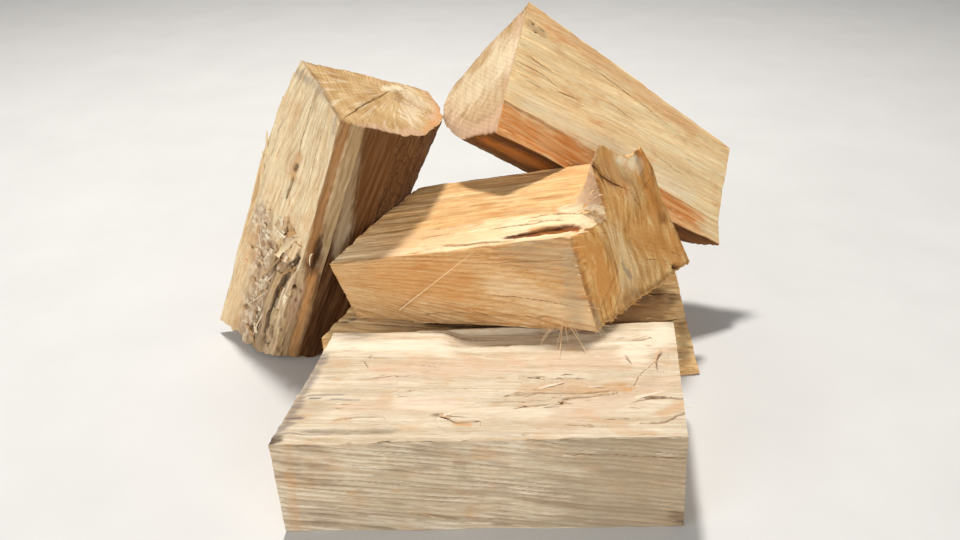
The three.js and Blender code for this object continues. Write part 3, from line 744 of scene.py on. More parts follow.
def scatter(i, j, seed):
    """Even, repeatable scatter from 0 to 1 for whole-numbered places."""
    wave = np.sin(i * 127.1 + j * 311.7 + seed * 74.7) * 43758.5453
    return wave - np.floor(wave)


def noise(a, b, seed):
    """Smooth noise from -1 to 1."""
    i = np.floor(a)
    j = np.floor(b)
    s = smooth(a - i)
    t = smooth(b - j)
    near = mix(scatter(i, j, seed), scatter(i + 1, j, seed), s)
    far = mix(scatter(i, j + 1, seed), scatter(i + 1, j + 1, seed), s)
    return 2 * mix(near, far, t) - 1


def span(x, start, end):
    """1 between two places along the grain, running out to 0 over a short way at each."""
    return smooth(np.minimum(x - start, end - x) / (RUN_OUT * (end - start)))


def path_places(u, v, path):
    """Signed distance of points from a path, and their share of the way along it."""
    steps = [math.dist(path[k], path[k + 1]) for k in range(len(path) - 1)]
    total = sum(steps)
    nearest = np.full(np.broadcast(u, v).shape, 1e9)
    share = np.zeros_like(nearest)
    gone = 0
    for k, step in enumerate(steps):
        du = (path[k + 1][0] - path[k][0]) / step
        dv = (path[k + 1][1] - path[k][1]) / step
        out_u = u - path[k][0]
        out_v = v - path[k][1]
        along = np.clip(out_u * du + out_v * dv, 0, step)
        gap = np.hypot(out_u - along * du, out_v - along * dv)
        side = np.where(out_v * du - out_u * dv < 0, -1.0, 1.0)
        closer = gap < np.abs(nearest)
        nearest = np.where(closer, gap * side, nearest)
        share = np.where(closer, (gone + along) / total, share)
        gone += step
    return nearest, share


class Masks:
    """Values on the surface that the materials read."""

    NAMES = ("groove_with_shade", "gash", "brown", "dark_and_shade", "ink", "grey", "pale", "warm", "rose")

    def __init__(self, shape):
        self.values = {name: np.zeros(shape) for name in self.NAMES}
        self.values["crack"] = np.full(shape, FAR)
        self.values["hairline"] = np.full(shape, FAR)

    def paint(self, name, amount):
        now = self.values[name]
        self.values[name] = now + (1 - now) * np.clip(amount, 0, 1)

    def cut(self, ratio, name="crack"):
        now = self.values[name]
        ratio = np.clip(ratio, -FAR, FAR)
        self.values[name] = np.where(np.abs(ratio) < np.abs(now), ratio, now)

    def stain(self, u, v, stain, seed, streaks="u", ragged=1.0):
        """A stain with a ragged edge that is drawn out along u or v."""
        along, aside = (u, v) if streaks == "u" else (v, u)
        edge = 0.3 * noise(along / 9, aside / 2.2, seed) + 0.25 * noise(along / 31, aside / 7, seed + 1)
        gap, _ = path_places(u, v, stain["path"])
        fade = 1.25 - np.abs(gap) / stain["half"] + ragged * edge
        self.paint(stain["mask"], stain["strength"] * smooth(fade))


def split_line(form, u, v, masks, seed):
    """A fine crack that follows a path, or a raised line where its depth is below 0."""
    wobble = 0.8 * noise(u / 11, v * 0, seed) + 0.3 * noise(u / 5, v * 0, seed + 1)
    gap, share = path_places(u, v + wobble, form["path"])
    taper = np.sqrt(np.clip(4 * share * (1 - share), 0, 1)) + 1e-3
    ratio = gap / (form["half"] * taper)
    masks.cut(ratio, "hairline" if form["half"] < HAIRLINE else "crack")
    return -form["depth"] * taper * np.clip(1.4 - np.abs(ratio), 0, 1)


def gash(form, u, v, masks, seed):
    """A wide tear that opens slowly from one end and closes quickly at the other."""
    wobble = 1.0 * noise(u / 12, v * 0, seed) + 0.4 * noise(u / 4, v * 0, seed + 1)
    gap, share = path_places(u, v + wobble, form["path"])
    opening = 1.25 * share ** 0.7 * (1 - share ** 7) + 1e-3
    across = gap / (form["half"] * opening)
    near = np.abs(across)
    inside = smooth((1.08 - near) / 0.12) * smooth(3 * opening)
    masks.paint("gash", inside)
    # Inside: a red-brown that is partly the torn wood's colour and partly painted shade, warm wood at the
    # near side, and near-black painted shade on the far wall and in the narrow start
    masks.paint("warm", 0.75 * inside * smooth(0.5 - 1.5 * across) * smooth(3 * share - 1))
    shaded_far_wall = smooth(3.2 * across - 1.6)
    masks.paint("dark_and_shade", inside * np.maximum(0.95 * shaded_far_wall, smooth(1.2 - 3.2 * share)))
    floor = np.clip(1.08 - near, 0, 1) ** 0.4
    return -form["depth"] * np.minimum(opening, 1) * floor


def flap(form, u, v, masks, seed):
    """A lifted flake: it stands up along its path, with a line of painted shade in the gap at its edge,
    and dies out behind it.
    """
    wobble = 1.1 * noise(u / 9, v * 0, seed) + 0.5 * noise(u / 3.5, v * 0, seed + 1)
    gap, share = path_places(u, v + wobble, form["path"])
    taper = np.sqrt(np.clip(4 * share * (1 - share), 0, 1)) + 1e-3
    wide = form["wide"]
    behind = gap / wide
    rise = np.where(behind > 0, np.clip(1 - behind, 0, 1), 0)
    sign = math.copysign(1, wide)
    masks.cut((gap + sign * form["half"]) / (form["half"] * taper), "hairline")
    return form["height"] * taper * rise


def form_height(form, k, x, share, across, width, masks):
    """Height of one form above its side."""
    kind = form["kind"]
    seed = FORM_SEED + 7 * k + len(form)
    if kind == "split":
        return split_line(form, x, across, masks, seed)
    if kind == "flap":
        return flap(form, x, across, masks, seed)
    if kind == "gash":
        return gash(form, x, across, masks, seed)
    if kind == "hole":
        along, aside = form["reach"]
        gap = np.hypot((x - form["x"]) / along, (across - form["across"]) / aside)
        gap = gap + 0.25 * noise(x / 7, across / 4, seed)
        # Painted shade inside the hole
        masks.paint("dark_and_shade", smooth(1.3 - gap))
        return -form["depth"] * smooth(1.4 - gap)
    if kind == "ledge":
        ragged = (1.2 * noise(x / 12, x * 0, seed) + 0.7 * noise(x / 4, x * 0, seed)) / width
        beyond = (share + ragged - form["at"]) / (form["until"] - form["at"])
        drop = np.where(beyond < 0, 0, np.clip(1 - beyond, 0, 1) * np.clip(beyond / LEDGE_STEP, 0, 1))
        foot = np.exp(-((beyond - 0.05) / 0.03) ** 2)
        run = span(x, form["from"], form["to"])
        # Painted shade in the crease at the foot of the step
        masks.paint("dark_and_shade", 0.45 * foot * run)
        return -form["depth"] * drop * run
    if kind == "knot":
        u = (share - form["at"]) / form["reach"]
        v = (x - form["x"]) / form["length"]
        return form["height"] * np.exp(-u * u - v * v)
    return torn_height(form, x, across, masks)


def blocks(x, across, long, wide, seed):
    """Broken blocks of fibres: each one's level from 0 to 1, and how near its edge is."""
    strip = across / wide + 0.5 * noise(x / 31, across / 23, seed)
    column = np.floor(strip)
    along = x / long + 9 * scatter(column, 1, seed) + 0.35 * noise(across / 3, x / 9, seed + 1)
    row = np.floor(along)
    level = mix(scatter(column, row, seed), 0.5, 0.3) + 0.25 * (along - row - 0.5)
    edge = np.minimum(np.minimum(strip - column, column + 1 - strip) * wide,
                      np.minimum(along - row, row + 1 - along) * long)
    return level, edge


def torn_height(form, x, across, masks):
    """Broken blocks and chips along a path, where fibres were ripped out."""
    ragged = 0.35 * noise(x / 13, across / 5, 33) + 0.2 * noise(x / 5, across / 2.4, 36)
    gap, _ = path_places(x, across, form["path"])
    inside = smooth(1.8 * (1 - np.abs(gap) / form["half"] + ragged))
    long, wide = form["chunk"]
    coarse, coarse_edge = blocks(x, across, long, wide, 34)
    small, small_edge = blocks(x, across + 0.1 * x, 0.4 * long, 0.45 * wide, 35)
    low = smooth(1.7 - 3.6 * coarse)
    # The second tint goes into low blocks and along block edges, partly as the torn wood's colour and
    # partly as painted shade; the form's last number sets how much near-black painted shade goes into low
    # blocks near their edges
    high_shade, low_tint_and_shade = form["shades"]
    masks.paint(low_tint_and_shade, 0.8 * inside * np.maximum(low, smooth(1 - small_edge / 1.2)))
    masks.paint("dark_and_shade", form["gloom"] * inside * low * smooth(1.2 - coarse_edge / 2.2))
    masks.paint(high_shade, 0.8 * inside * smooth(4 * small - 1.9) * (1 - low))
    masks.paint("rose", 0.5 * inside * smooth(4 * coarse - 2.2))
    return form["depth"] * inside * (coarse - 0.65 + 0.3 * (small - 0.5))


def terraces(value):
    """Steps with flat treads and short risers."""
    whole = np.floor(value)
    return whole + smooth((value - whole - 0.8) / 0.2)


def relief(side, k, x, share, across, width, masks):
    """Height of the surface above the plain side."""
    swell = side["swell"] * noise(x / SWELL_WAVE[0], across / SWELL_WAVE[1], k + SWELL_SEED)
    grain = side["grain"] * noise(x / GRAIN_WAVE[0], across / GRAIN_WAVE[1], k)
    height = side.get("bulge", 0) * 4 * share * (1 - share) + swell + grain
    if side.get("flat"):
        return height
    if side.get("bark"):
        return height + bark_height(x, across, k)

    pitch, rib_height, _ = side["rib"]
    lean = across + grain_lean(side, x, across, width)
    wander = side.get("wander", 4.5) * noise(x / 72, lean / 26, k + 60)
    swing = 0.62 + 0.22 * noise(x / 48, lean / 17, k + 61)
    swing = np.clip(swing + 0.36 * noise(x / 90, lean / pitch, k + 68), 0, 1)
    wave = np.sin(2 * np.pi * (lean + wander) / pitch)
    keen = side.get("keen", 0.2)
    # Painted shade: the hollows between the ribs, and in the loop below the low fibres, get a browner
    # colour
    groove_with_shade = smooth((-wave - keen) / (0.9 - keen)) * swing
    height = height + 0.5 * rib_height * swing * wave - 1.3 * rib_height * groove_with_shade
    masks.paint("groove_with_shade", min(1.0, 1.2 * rib_height) * groove_with_shade)
    for index, (length, wide, high) in enumerate(FIBRES):
        fibre = noise(x / length, lean / wide, k + 62 + index)
        height = height + high * fibre
        masks.paint("groove_with_shade", side.get("fibres", 0.45) * smooth((-fibre - 0.3) / 0.35))
    ragged = lean + 0.8 * noise(x / 9, lean / 3, k + 66)
    height = height + side["steps"] * terraces(1.6 * noise(x / 130, ragged / 19, k + 67)) / 1.6
    for form in side.get("forms", ()):
        height = height + form_height(form, k, x, share, across, width, masks)
    return height


def grain_lean(side, x, across, width):
    """How far the lines of the grain lie aside of straight ones along the log."""
    lean = side["rib"][2] * x
    if "fan" in side:
        start, reach, slope = side["fan"]
        spread = 1 - np.clip(across / width, 0, 1)
        lean = lean - slope * reach * spread * np.exp(-(x - start) / reach)
    for form in side.get("forms", ()):
        if form["kind"] == "knot":
            lean = lean + knot_bend(form, x, across, width)
    return lean


def knot_bend(form, x, across, width):
    """How far the grain is pushed aside by a knot."""
    away = across - form["at"] * width
    reach = 1.5 * form["reach"] * width
    near = np.exp(-(away / reach) ** 2 - ((x - form["x"]) / (1.8 * form["length"])) ** 2)
    return -0.75 * away * near


def bark_height(x, across, k):
    """Flat scales of thin bark with gaps between them."""
    scale = np.abs(noise(x / 21 + 0.3 * noise(x / 9, across / 9, k + 81), across / 8, k + 80))
    flakes = noise(x / 12, across / 5, k + 82)
    fine = noise(x / 5, across / 2.2, k + 83)
    return 1.2 * smooth(3 * scale) - 1.2 + 0.5 * terraces(2 * flakes) / 2 + 0.3 * fine


def cut_at(cut, place):
    return cut[0] + cut[1] * place[..., 0] + cut[2] * place[..., 1]


def edge_places(path, alongs):
    shares = [point[0] for point in path]
    return np.stack([np.interp(alongs, shares, [point[i] for point in path]) for i in (1, 2)], 1)


def foot_drop(log, k, share, place):
    """How far a torn foot is short of its plane, or past it where negative."""
    reach = mix(log["foot_reach"].get(k, 0), log["foot_reach"].get(k + 1, 0), share)
    jag = log["foot_jag"] * noise(place[..., 0] / JAG_WIDTH, place[..., 1] / JAG_WIDTH, FOOT_SEED)
    fibres = 2.5 * (1 + noise(place[..., 0] / 8, place[..., 1] / 8, 41))
    return jag - reach + fibres


def grain_places(points, shift):
    """Places that the materials read the wood from, with the grain leaned and bent."""
    bent = points.copy()
    bent[..., 1:] += shift
    return bent


def rim_wear(log, k, alongs, across):
    """How far the skin draws in next to the ends, where the saw tore the fibres."""
    length = log["end"][0] - log["start"][0]
    from_end = np.minimum(alongs, 1 - alongs)[:, None] * length
    most = np.where(alongs > 0.5, log["rims"][1], log["rims"][0])[:, None]
    ragged = 0.5 + 0.5 * noise(across / 5, across * 0, k + 95)
    ragged = ragged + 0.3 * noise(across / 2.2, across * 0, k + 96)
    return most * np.clip(ragged, 0, 1) * smooth(1 - from_end / RIM_DEPTH)


def side_grid(log, k, alongs):
    """One side of a log as rows of points, with its masks."""
    side = log["sides"][k]
    start = edge_places(log["edges"][k], alongs)
    end = edge_places(log["edges"][(k + 1) % len(log["edges"])], alongs)
    width = np.linalg.norm(end - start, axis=1)
    direction = (end - start) / width[:, None]
    outward = np.stack([-direction[:, 1], direction[:, 0]], axis=1)
    count = max(3, round(float(width.max()) / (3 * ACROSS_STEP if side.get("flat") else ACROSS_STEP)))
    share = np.linspace(0, 1, count)[None, :] * np.ones((len(alongs), 1))
    wear = np.minimum(EDGE_WEAR * (0.55 + 0.4 * noise(alongs * 17, alongs * 0, k + 50)), width / 4)
    reach = mix(wear[:, None], (width - wear)[:, None], share)
    place = start[:, None, :] + direction[:, None, :] * reach[:, :, None]
    x = mix(cut_at(log["start"], place), cut_at(log["end"], place), alongs[:, None])
    across = share * width[:, None]
    masks = Masks(share.shape)
    height = relief(side, k, x, share, across, width[:, None], masks)
    for name, amount in side.get("wash", {}).items():
        masks.paint(name, amount)
    for index, stain in enumerate(side.get("stains", ())):
        masks.stain(x, across, stain, STAIN_SEED + 11 * k + 2 * index)

    shift = np.zeros_like(place)
    if "rib" in side:
        lean = grain_lean(side, x, across, width[:, None])
        shift = direction[:, None, :] * lean[:, :, None]
    height = height - rim_wear(log, k, alongs, across)
    place = place + outward[:, None, :] * height[:, :, None]
    if log.get("foot_jag"):
        taper = np.clip(1 - alongs / FOOT_TAPER, 0, 1)[:, None]
        x = x + taper * foot_drop(log, k, share, place)
    points = np.concatenate([x[:, :, None], place], axis=2)
    return {
        "points": points,
        "grain": grain_places(points, shift),
        "masks": masks.values,
        "outward": outward,
        "direction": direction,
        "width": float(width.mean()),
        "bark": bool(side.get("bark")),
    }


def arris_points(log, k, alongs, before, after):
    """Two points that round off the worn edge between one side and the next."""
    edge = (k + 1) % len(log["edges"])
    corner = edge_places(log["edges"][edge], alongs)
    x = mix(cut_at(log["start"], corner), cut_at(log["end"], corner), alongs)
    corner = np.concatenate([x[:, None], corner], axis=1)
    first = before["points"][:, -1]
    last = after["points"][:, 0]
    corner[:, 0] = 0.5 * (first[:, 0] + last[:, 0])
    middle = 0.5 * (first + last)
    worn = 0.45 + 0.3 * noise(x / 13, x * 0, k + 90) + 0.25 * noise(x / 5, x * 0, k + 91)
    control = mix(corner, middle, np.clip(worn, 0, 1)[:, None])
    rows = []
    for t in (1 / 3, 2 / 3):
        rows.append((1 - t) ** 2 * first + 2 * t * (1 - t) * control + t * t * last)
    return np.stack(rows, axis=1)


def join_sides(log, alongs):
    """The whole skin between the two ends: one row of points for each station."""
    grids = [side_grid(log, k, alongs) for k in range(len(log["sides"]))]
    points, grain, bark = [], [], []
    masks = {name: [] for name in grids[0]["masks"]}
    for k, grid in enumerate(grids):
        after = grids[(k + 1) % len(grids)]
        between = arris_points(log, k, alongs, grid, after)
        points += [grid["points"], between]
        grain += [grid["grain"], between]
        bark += [np.full(grid["points"].shape[1], grid["bark"])]
        bark += [np.array([grid["bark"] or after["bark"]] * 2)]
        for name, column in grid["masks"].items():
            edge = column[:, -1:] * np.ones((1, 2))
            masks[name] += [column, edge]
    return {
        "grids": grids,
        "points": np.concatenate(points, axis=1),
        "grain": np.concatenate(grain, axis=1),
        "bark": np.concatenate(bark),
        "masks": {name: np.concatenate(parts, axis=1) for name, parts in masks.items()},
    }


def cap_rings(log, rim, cap, is_end):
    """Rings of a sawn or torn end from just inside its rim to its middle, rim first."""
    middle = rim.mean(axis=0)
    radius = np.linalg.norm(rim - middle, axis=1).mean()
    count = max(6, round(radius / CAP_STEP))
    scales = np.linspace(1, 0.02, count)[1:]
    rings = middle + (rim - middle)[None, :, :] * scales[:, None, None]
    y, z = rings[..., 1], rings[..., 2]
    masks = Masks(y.shape)
    inset = np.clip((1 - scales) * 12, 0, 1)[:, None]
    if is_end or not log.get("foot_jag"):
        sawn = cut_at(log["end"] if is_end else log["start"], rings[..., 1:])
        rings[..., 0] = mix(rings[..., 0], sawn, inset)
    rim_shade = smooth((scales - 0.9) / 0.09)[:, None] * (0.6 + 0.5 * noise(y / 6, z / 6, 302))
    masks.paint("brown", cap.get("rim", 0.3) * rim_shade)
    lump = cap.get("lump", 0.6)
    push = lump * noise(y / 31, z / 43, 300) + 0.4 * lump * noise(y / 9, z / 22, 301)
    for index, form in enumerate(cap.get("forms", ())):
        if form.get("kind") == "hole":
            gap = np.hypot(y - form["at"][0], z - form["at"][1]) / form["reach"]
            # Painted shade inside the hole
            masks.paint("dark_and_shade", smooth(1.3 - gap))
            push = push - form["depth"] * smooth(1.4 - gap)
        elif form.get("kind") == "swelling":
            out = np.hypot((y - form["at"][0]) / form["reach"][0], (z - form["at"][1]) / form["reach"][1])
            push = push + form["height"] * np.exp(-out * out)
        else:
            push = push + split_line(form, y, z, masks, CAP_FORM_SEED + index)
    for index, stain in enumerate(cap.get("stains", ())):
        masks.stain(y, z, stain, CAP_STAIN_SEED + 2 * index, streaks="v", ragged=1.8)
    if not is_end and log.get("foot_jag"):
        jag = log["foot_jag"] * noise(y / JAG_WIDTH, z / JAG_WIDTH, FOOT_SEED)
        spikes = 5 * noise(y / 5, z / 5, 42) * (1 - scales[:, None])
        push = push - jag + spikes
        # Painted shade where the torn foot is pushed in
        masks.paint("dark_and_shade", 0.5 * smooth(jag / 4))
    rings[..., 0] += (push if is_end else -push) * inset
    return rings, masks.values, middle


def mesh_of(log):
    """A log's whole skin as points, faces, what each face is and what each point holds."""
    length = log["end"][0] - log["start"][0]
    alongs = np.linspace(0, 1, round(length / ALONG_STEP) + 1)
    skin = join_sides(log, alongs)
    rows, columns = skin["points"].shape[:2]
    points = [skin["points"].reshape(-1, 3)]
    grain = [skin["grain"].reshape(-1, 3)]
    masks = {name: [values.reshape(-1)] for name, values in skin["masks"].items()}
    faces, kinds = [], []

    index = np.arange(rows * columns).reshape(rows, columns)
    nearer = index[:-1]
    further = index[1:]
    turn = lambda ring: np.roll(ring, -1, axis=-1)
    faces.append(np.stack([nearer, further, turn(further), turn(nearer)], 2).reshape(-1, 4))
    kinds.append(np.tile(np.where(skin["bark"], 2, 0), rows - 1))

    middles = []
    first = rows * columns
    for is_end in (False, True):
        rim = skin["points"][-1 if is_end else 0]
        outer = index[-1 if is_end else 0]
        cap = log.get("cap", {}) if is_end != log.get("cap_at_start", False) else {}
        rings, cap_masks, middle = cap_rings(log, rim, cap, is_end)
        points.append(rings.reshape(-1, 3))
        grain.append(rings.reshape(-1, 3))
        for name, values in cap_masks.items():
            masks[name].append(values.reshape(-1))
        count = len(rings)
        ring_index = first + np.arange(count * columns).reshape(count, columns)
        first += count * columns
        stack = np.concatenate([outer[None, :], ring_index])
        nearer, further = stack[:-1], stack[1:]
        loop = [nearer, further, turn(further), turn(nearer)]
        if not is_end:
            loop.reverse()
        faces.append(np.stack(loop, 2).reshape(-1, 4))
        kinds.append(np.full(count * columns, 3 if not is_end and log.get("foot_jag") else 1))
        middles.append((middle, ring_index[-1], is_end))

    quads = np.concatenate(faces)
    kinds = np.concatenate(kinds)
    fans = []
    for middle, ring, is_end in middles:
        points.append(middle[None, :])
        grain.append(middle[None, :])
        for name in masks:
            masks[name].append(np.array([FAR if name in ("crack", "hairline") else 0.0]))
        fan = np.stack([ring, np.full(columns, first), turn(ring)], 1)
        fans.append(fan if is_end else fan[:, ::-1])
        first += 1
    return {
        "points": np.concatenate(points),
        "grain": np.concatenate(grain),
        "masks": {name: np.concatenate(parts) for name, parts in masks.items()},
        "quads": quads,
        "kinds": kinds,
        "fans": fans,
        "rims": (index[0], index[-1]),
        "grids": skin["grids"],
    }


def turn_of(log):
    """The log frame's turn in the heap."""
    yaw = math.radians(log["yaw"])
    lift = math.radians(log["lift"])
    turn = np.array([
        [math.cos(yaw), -math.sin(yaw), 0],
        [math.sin(yaw), math.cos(yaw), 0],
        [0, 0, 1],
    ])
    tilt = np.array([
        [math.cos(lift), 0, -math.sin(lift)],
        [0, 1, 0],
        [math.sin(lift), 0, math.cos(lift)],
    ])
    return turn @ tilt


def to_heap(log, points):
    """Millimetres in a log's frame to metres in the heap's frame."""
    placed = points @ turn_of(log).T + np.array(log["at"]) + np.array(HEAP_SHIFT)
    return placed * METRES


def from_heap(log, points):
    """Millimetres in the heap's frame to millimetres in a log's frame."""
    return (np.array(points) - np.array(HEAP_SHIFT) - np.array(log["at"])) @ turn_of(log)


def add_values(mesh, name, values):
    """Stores a number or a triple for each point of the mesh."""
    if values.ndim == 1:
        layer = mesh.attributes.new(name, "FLOAT", "POINT")
        layer.data.foreach_set("value", values.astype(np.float32))
    else:
        layer = mesh.attributes.new(name, "FLOAT_VECTOR", "POINT")
        layer.data.foreach_set("vector", values.astype(np.float32).reshape(-1))


def wood_values(mesh, log, grain, masks):
    """The values that the wood materials read: places in the grain, in centimetres, and masks."""
    out = grain[:, 1:] - np.array(log["pith"])
    radius = np.hypot(out[:, 0], out[:, 1])
    waver = 2.2 * noise(grain[:, 0] / 110, radius / 30, 71)
    add_values(mesh, "ring", (radius + waver) / 5.2)
    add_values(mesh, "ray", np.arctan2(out[:, 1], out[:, 0]) * 30)
    add_values(mesh, "grain", grain / 10)
    for name, values in masks.items():
        add_values(mesh, name, values)


class Strands:
    """Thin fibres, splinters and flakes of one log, each a flat pointed sliver."""

    STEPS = 10
    # Places round a sliver's section: sideways and up, as shares of its half width and height
    SECTION = ((1, 0), (0.5, 1), (-0.5, 1), (-1, 0), (-0.5, -1), (0.5, -1))
    LOWEST = 0.4 * METRES

    def __init__(self):
        self.points, self.grain, self.faces = [], [], []
        self.shades = {name: [] for name in Masks((1,)).values}
        self.count = 0

    def add(self, line, normal, width, thick, blunt, shades):
        """line: points along the sliver. blunt: 0 for a pointed tip, 1 for a square one."""
        steps = len(line)
        corners = len(self.SECTION)
        share = np.linspace(0, 1, steps)
        forward = np.gradient(line, axis=0)
        forward /= np.linalg.norm(forward, axis=1)[:, None]
        sideways = np.cross(forward, normal)
        sideways /= np.linalg.norm(sideways, axis=1)[:, None] + 1e-9
        up = np.cross(sideways, forward)
        taper = mix(np.sqrt(1 - 0.97 * share), np.ones(steps), blunt)
        ring = np.zeros((steps, corners, 3))
        grain = np.zeros((steps, corners, 3))
        along = np.concatenate([[0], np.cumsum(np.linalg.norm(np.diff(line, axis=0), axis=1))])
        offset = 40 * scatter(self.count, 3, 5)
        for corner, (side, rise) in enumerate(self.SECTION):
            ragged = 1 + 0.3 * noise(share * 5, share * 0, 7 * self.count + (side > 0))
            half = 0.5 * width * side * taper * ragged
            high = 0.5 * thick * rise * mix(1.0, 0.4, share)
            ring[:, corner] = line + half[:, None] * sideways + high[:, None] * up
            grain[:, corner, 0] = along + 10 * offset
            grain[:, corner, 1] = half + offset
            grain[:, corner, 2] = high
        self.points.append(ring.reshape(-1, 3))
        self.grain.append(grain.reshape(-1, 3))
        for name in self.shades:
            value = FAR if name in ("crack", "hairline") else shades.get(name, 0.0)
            self.shades[name].append(np.full(corners * steps, value))
        first = corners * steps * self.count
        for row in range(steps - 1):
            for corner in range(corners):
                a = first + corners * row + corner
                b = first + corners * row + (corner + 1) % corners
                self.faces.append((a, a + corners, b + corners, b))
        self.faces.append(tuple(first + corner for corner in range(corners)))
        last = first + corners * (steps - 1)
        self.faces.append(tuple(last + corner for corner in reversed(range(corners))))
        self.count += 1

    def grow(self, grid, x, across, length, width, heading, rise, **more):
        """A sliver that starts on a side. heading and turn lie in the side, rise and curl
        lift off it, all in degrees."""
        points = grid["points"]
        rows, columns = points.shape[:2]
        column = int(np.clip(round(across / grid["width"] * (columns - 1)), 0, columns - 1))
        row = int(np.clip(np.searchsorted(points[:, column, 0], x), 1, rows - 2))
        start = points[row, column]
        ahead = points[row + 1, column] - points[row - 1, column]
        ahead = ahead / np.linalg.norm(ahead)
        outward = np.array([0.0, *grid["outward"][row]])
        aside = np.array([0.0, *grid["direction"][row]])
        share = np.linspace(0, 1, self.STEPS)
        flat = np.radians(heading + more.get("turn", 0) * share)
        steep = np.radians(rise + more.get("curl", 0) * share)
        level = np.cos(flat)[:, None] * ahead + np.sin(flat)[:, None] * aside
        step = np.cos(steep)[:, None] * level + np.sin(steep)[:, None] * outward
        line = start - more.get("sink", 0.5) * outward + np.cumsum(step, axis=0) * length / self.STEPS
        normal = -np.sin(steep)[:, None] * level + np.cos(steep)[:, None] * outward
        self.add(line, normal, width, more.get("thick", 0.7), more.get("blunt", 0), more)

    def scatter_over(self, grid, patch, seed):
        """Many slivers in one patch of a side, each within the patch's limits."""
        def between(limits, index, salt):
            return mix(limits[0], limits[1], float(scatter(index, salt, seed)))
        for index in range(patch["count"]):
            shade = between((0, 1), index, 9)
            self.grow(
                grid,
                between(patch["x"], index, 1), between(patch["across"], index, 2),
                between(patch["length"], index, 3), between(patch["width"], index, 4),
                between(patch["heading"], index, 5), between(patch["rise"], index, 6),
                turn=between(patch.get("turn", (-20, 20)), index, 7), brown=patch.get("brown", 0),
                curl=between(patch.get("curl", (0, 0)), index, 8),
                thick=patch.get("thick", 0.7), blunt=patch.get("blunt", 0),
                pale=shade if shade > 0.4 else 0, warm=1 - 2 * shade if shade < 0.5 else 0,
            )

    def build(self, log, material):
        mesh = bpy.data.meshes.new(log["name"] + "_strands")
        points = to_heap(log, np.concatenate(self.points))
        points[:, 2] = np.maximum(points[:, 2], self.LOWEST)
        mesh.from_pydata(points.tolist(), [], self.faces)
        shades = {name: np.concatenate(parts) for name, parts in self.shades.items()}
        wood_values(mesh, log, np.concatenate(self.grain), shades)
        mesh.update()
        dress(log["name"] + "_strands", log, mesh, [material])


def dress(name, log, mesh, materials):
    for material in materials:
        mesh.materials.append(material)
    piece = bpy.data.objects.new(name, mesh)
    bpy.context.scene.collection.objects.link(piece)
    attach(piece, "root")
    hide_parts(log["name"])
    return piece


def build_log(log, materials):
    made = mesh_of(log)
    mesh = bpy.data.meshes.new(log["name"])
    fans = np.concatenate(made["fans"])
    faces = made["quads"].tolist() + fans.tolist()
    mesh.from_pydata(to_heap(log, made["points"]).tolist(), [], faces)
    kinds = np.concatenate([made["kinds"], np.ones(len(fans), dtype=int)])
    if log.get("foot_jag"):
        kinds[len(made["kinds"]):len(made["kinds"]) + len(made["fans"][0])] = 3
    kinds = np.where(kinds == 3, 0, kinds)
    mesh.polygons.foreach_set("material_index", kinds.astype(np.int32))
    mesh.polygons.foreach_set("use_smooth", np.ones(len(faces), dtype=bool))
    wood_values(mesh, log, made["grain"], made["masks"])
    sharpen_rims(mesh, made["rims"])
    mesh.validate()
    mesh.update()
    dress(log["name"] + "_wood", log, mesh, materials)
    return made


def sharpen_rims(mesh, rims):
    """Keeps the sawn edges crisp."""
    ends = np.zeros(len(mesh.edges) * 2, dtype=np.int32)
    mesh.edges.foreach_get("vertices", ends)
    ends = ends.reshape(-1, 2)
    sharp = np.zeros(len(mesh.edges), dtype=bool)
    for rim in rims:
        sharp |= np.isin(ends, rim).all(axis=1)
    layer = mesh.attributes.new("sharp_edge", "BOOLEAN", "EDGE")
    layer.data.foreach_set("value", sharp)


def colour(red, green, blue):
    """Screen colour to the linear values that materials take."""
    parts = [value / 255 for value in (red, green, blue)]
    return tuple(p / 12.92 if p < 0.04045 else ((p + 0.055) / 1.055) ** 2.4 for p in parts) + (1,)


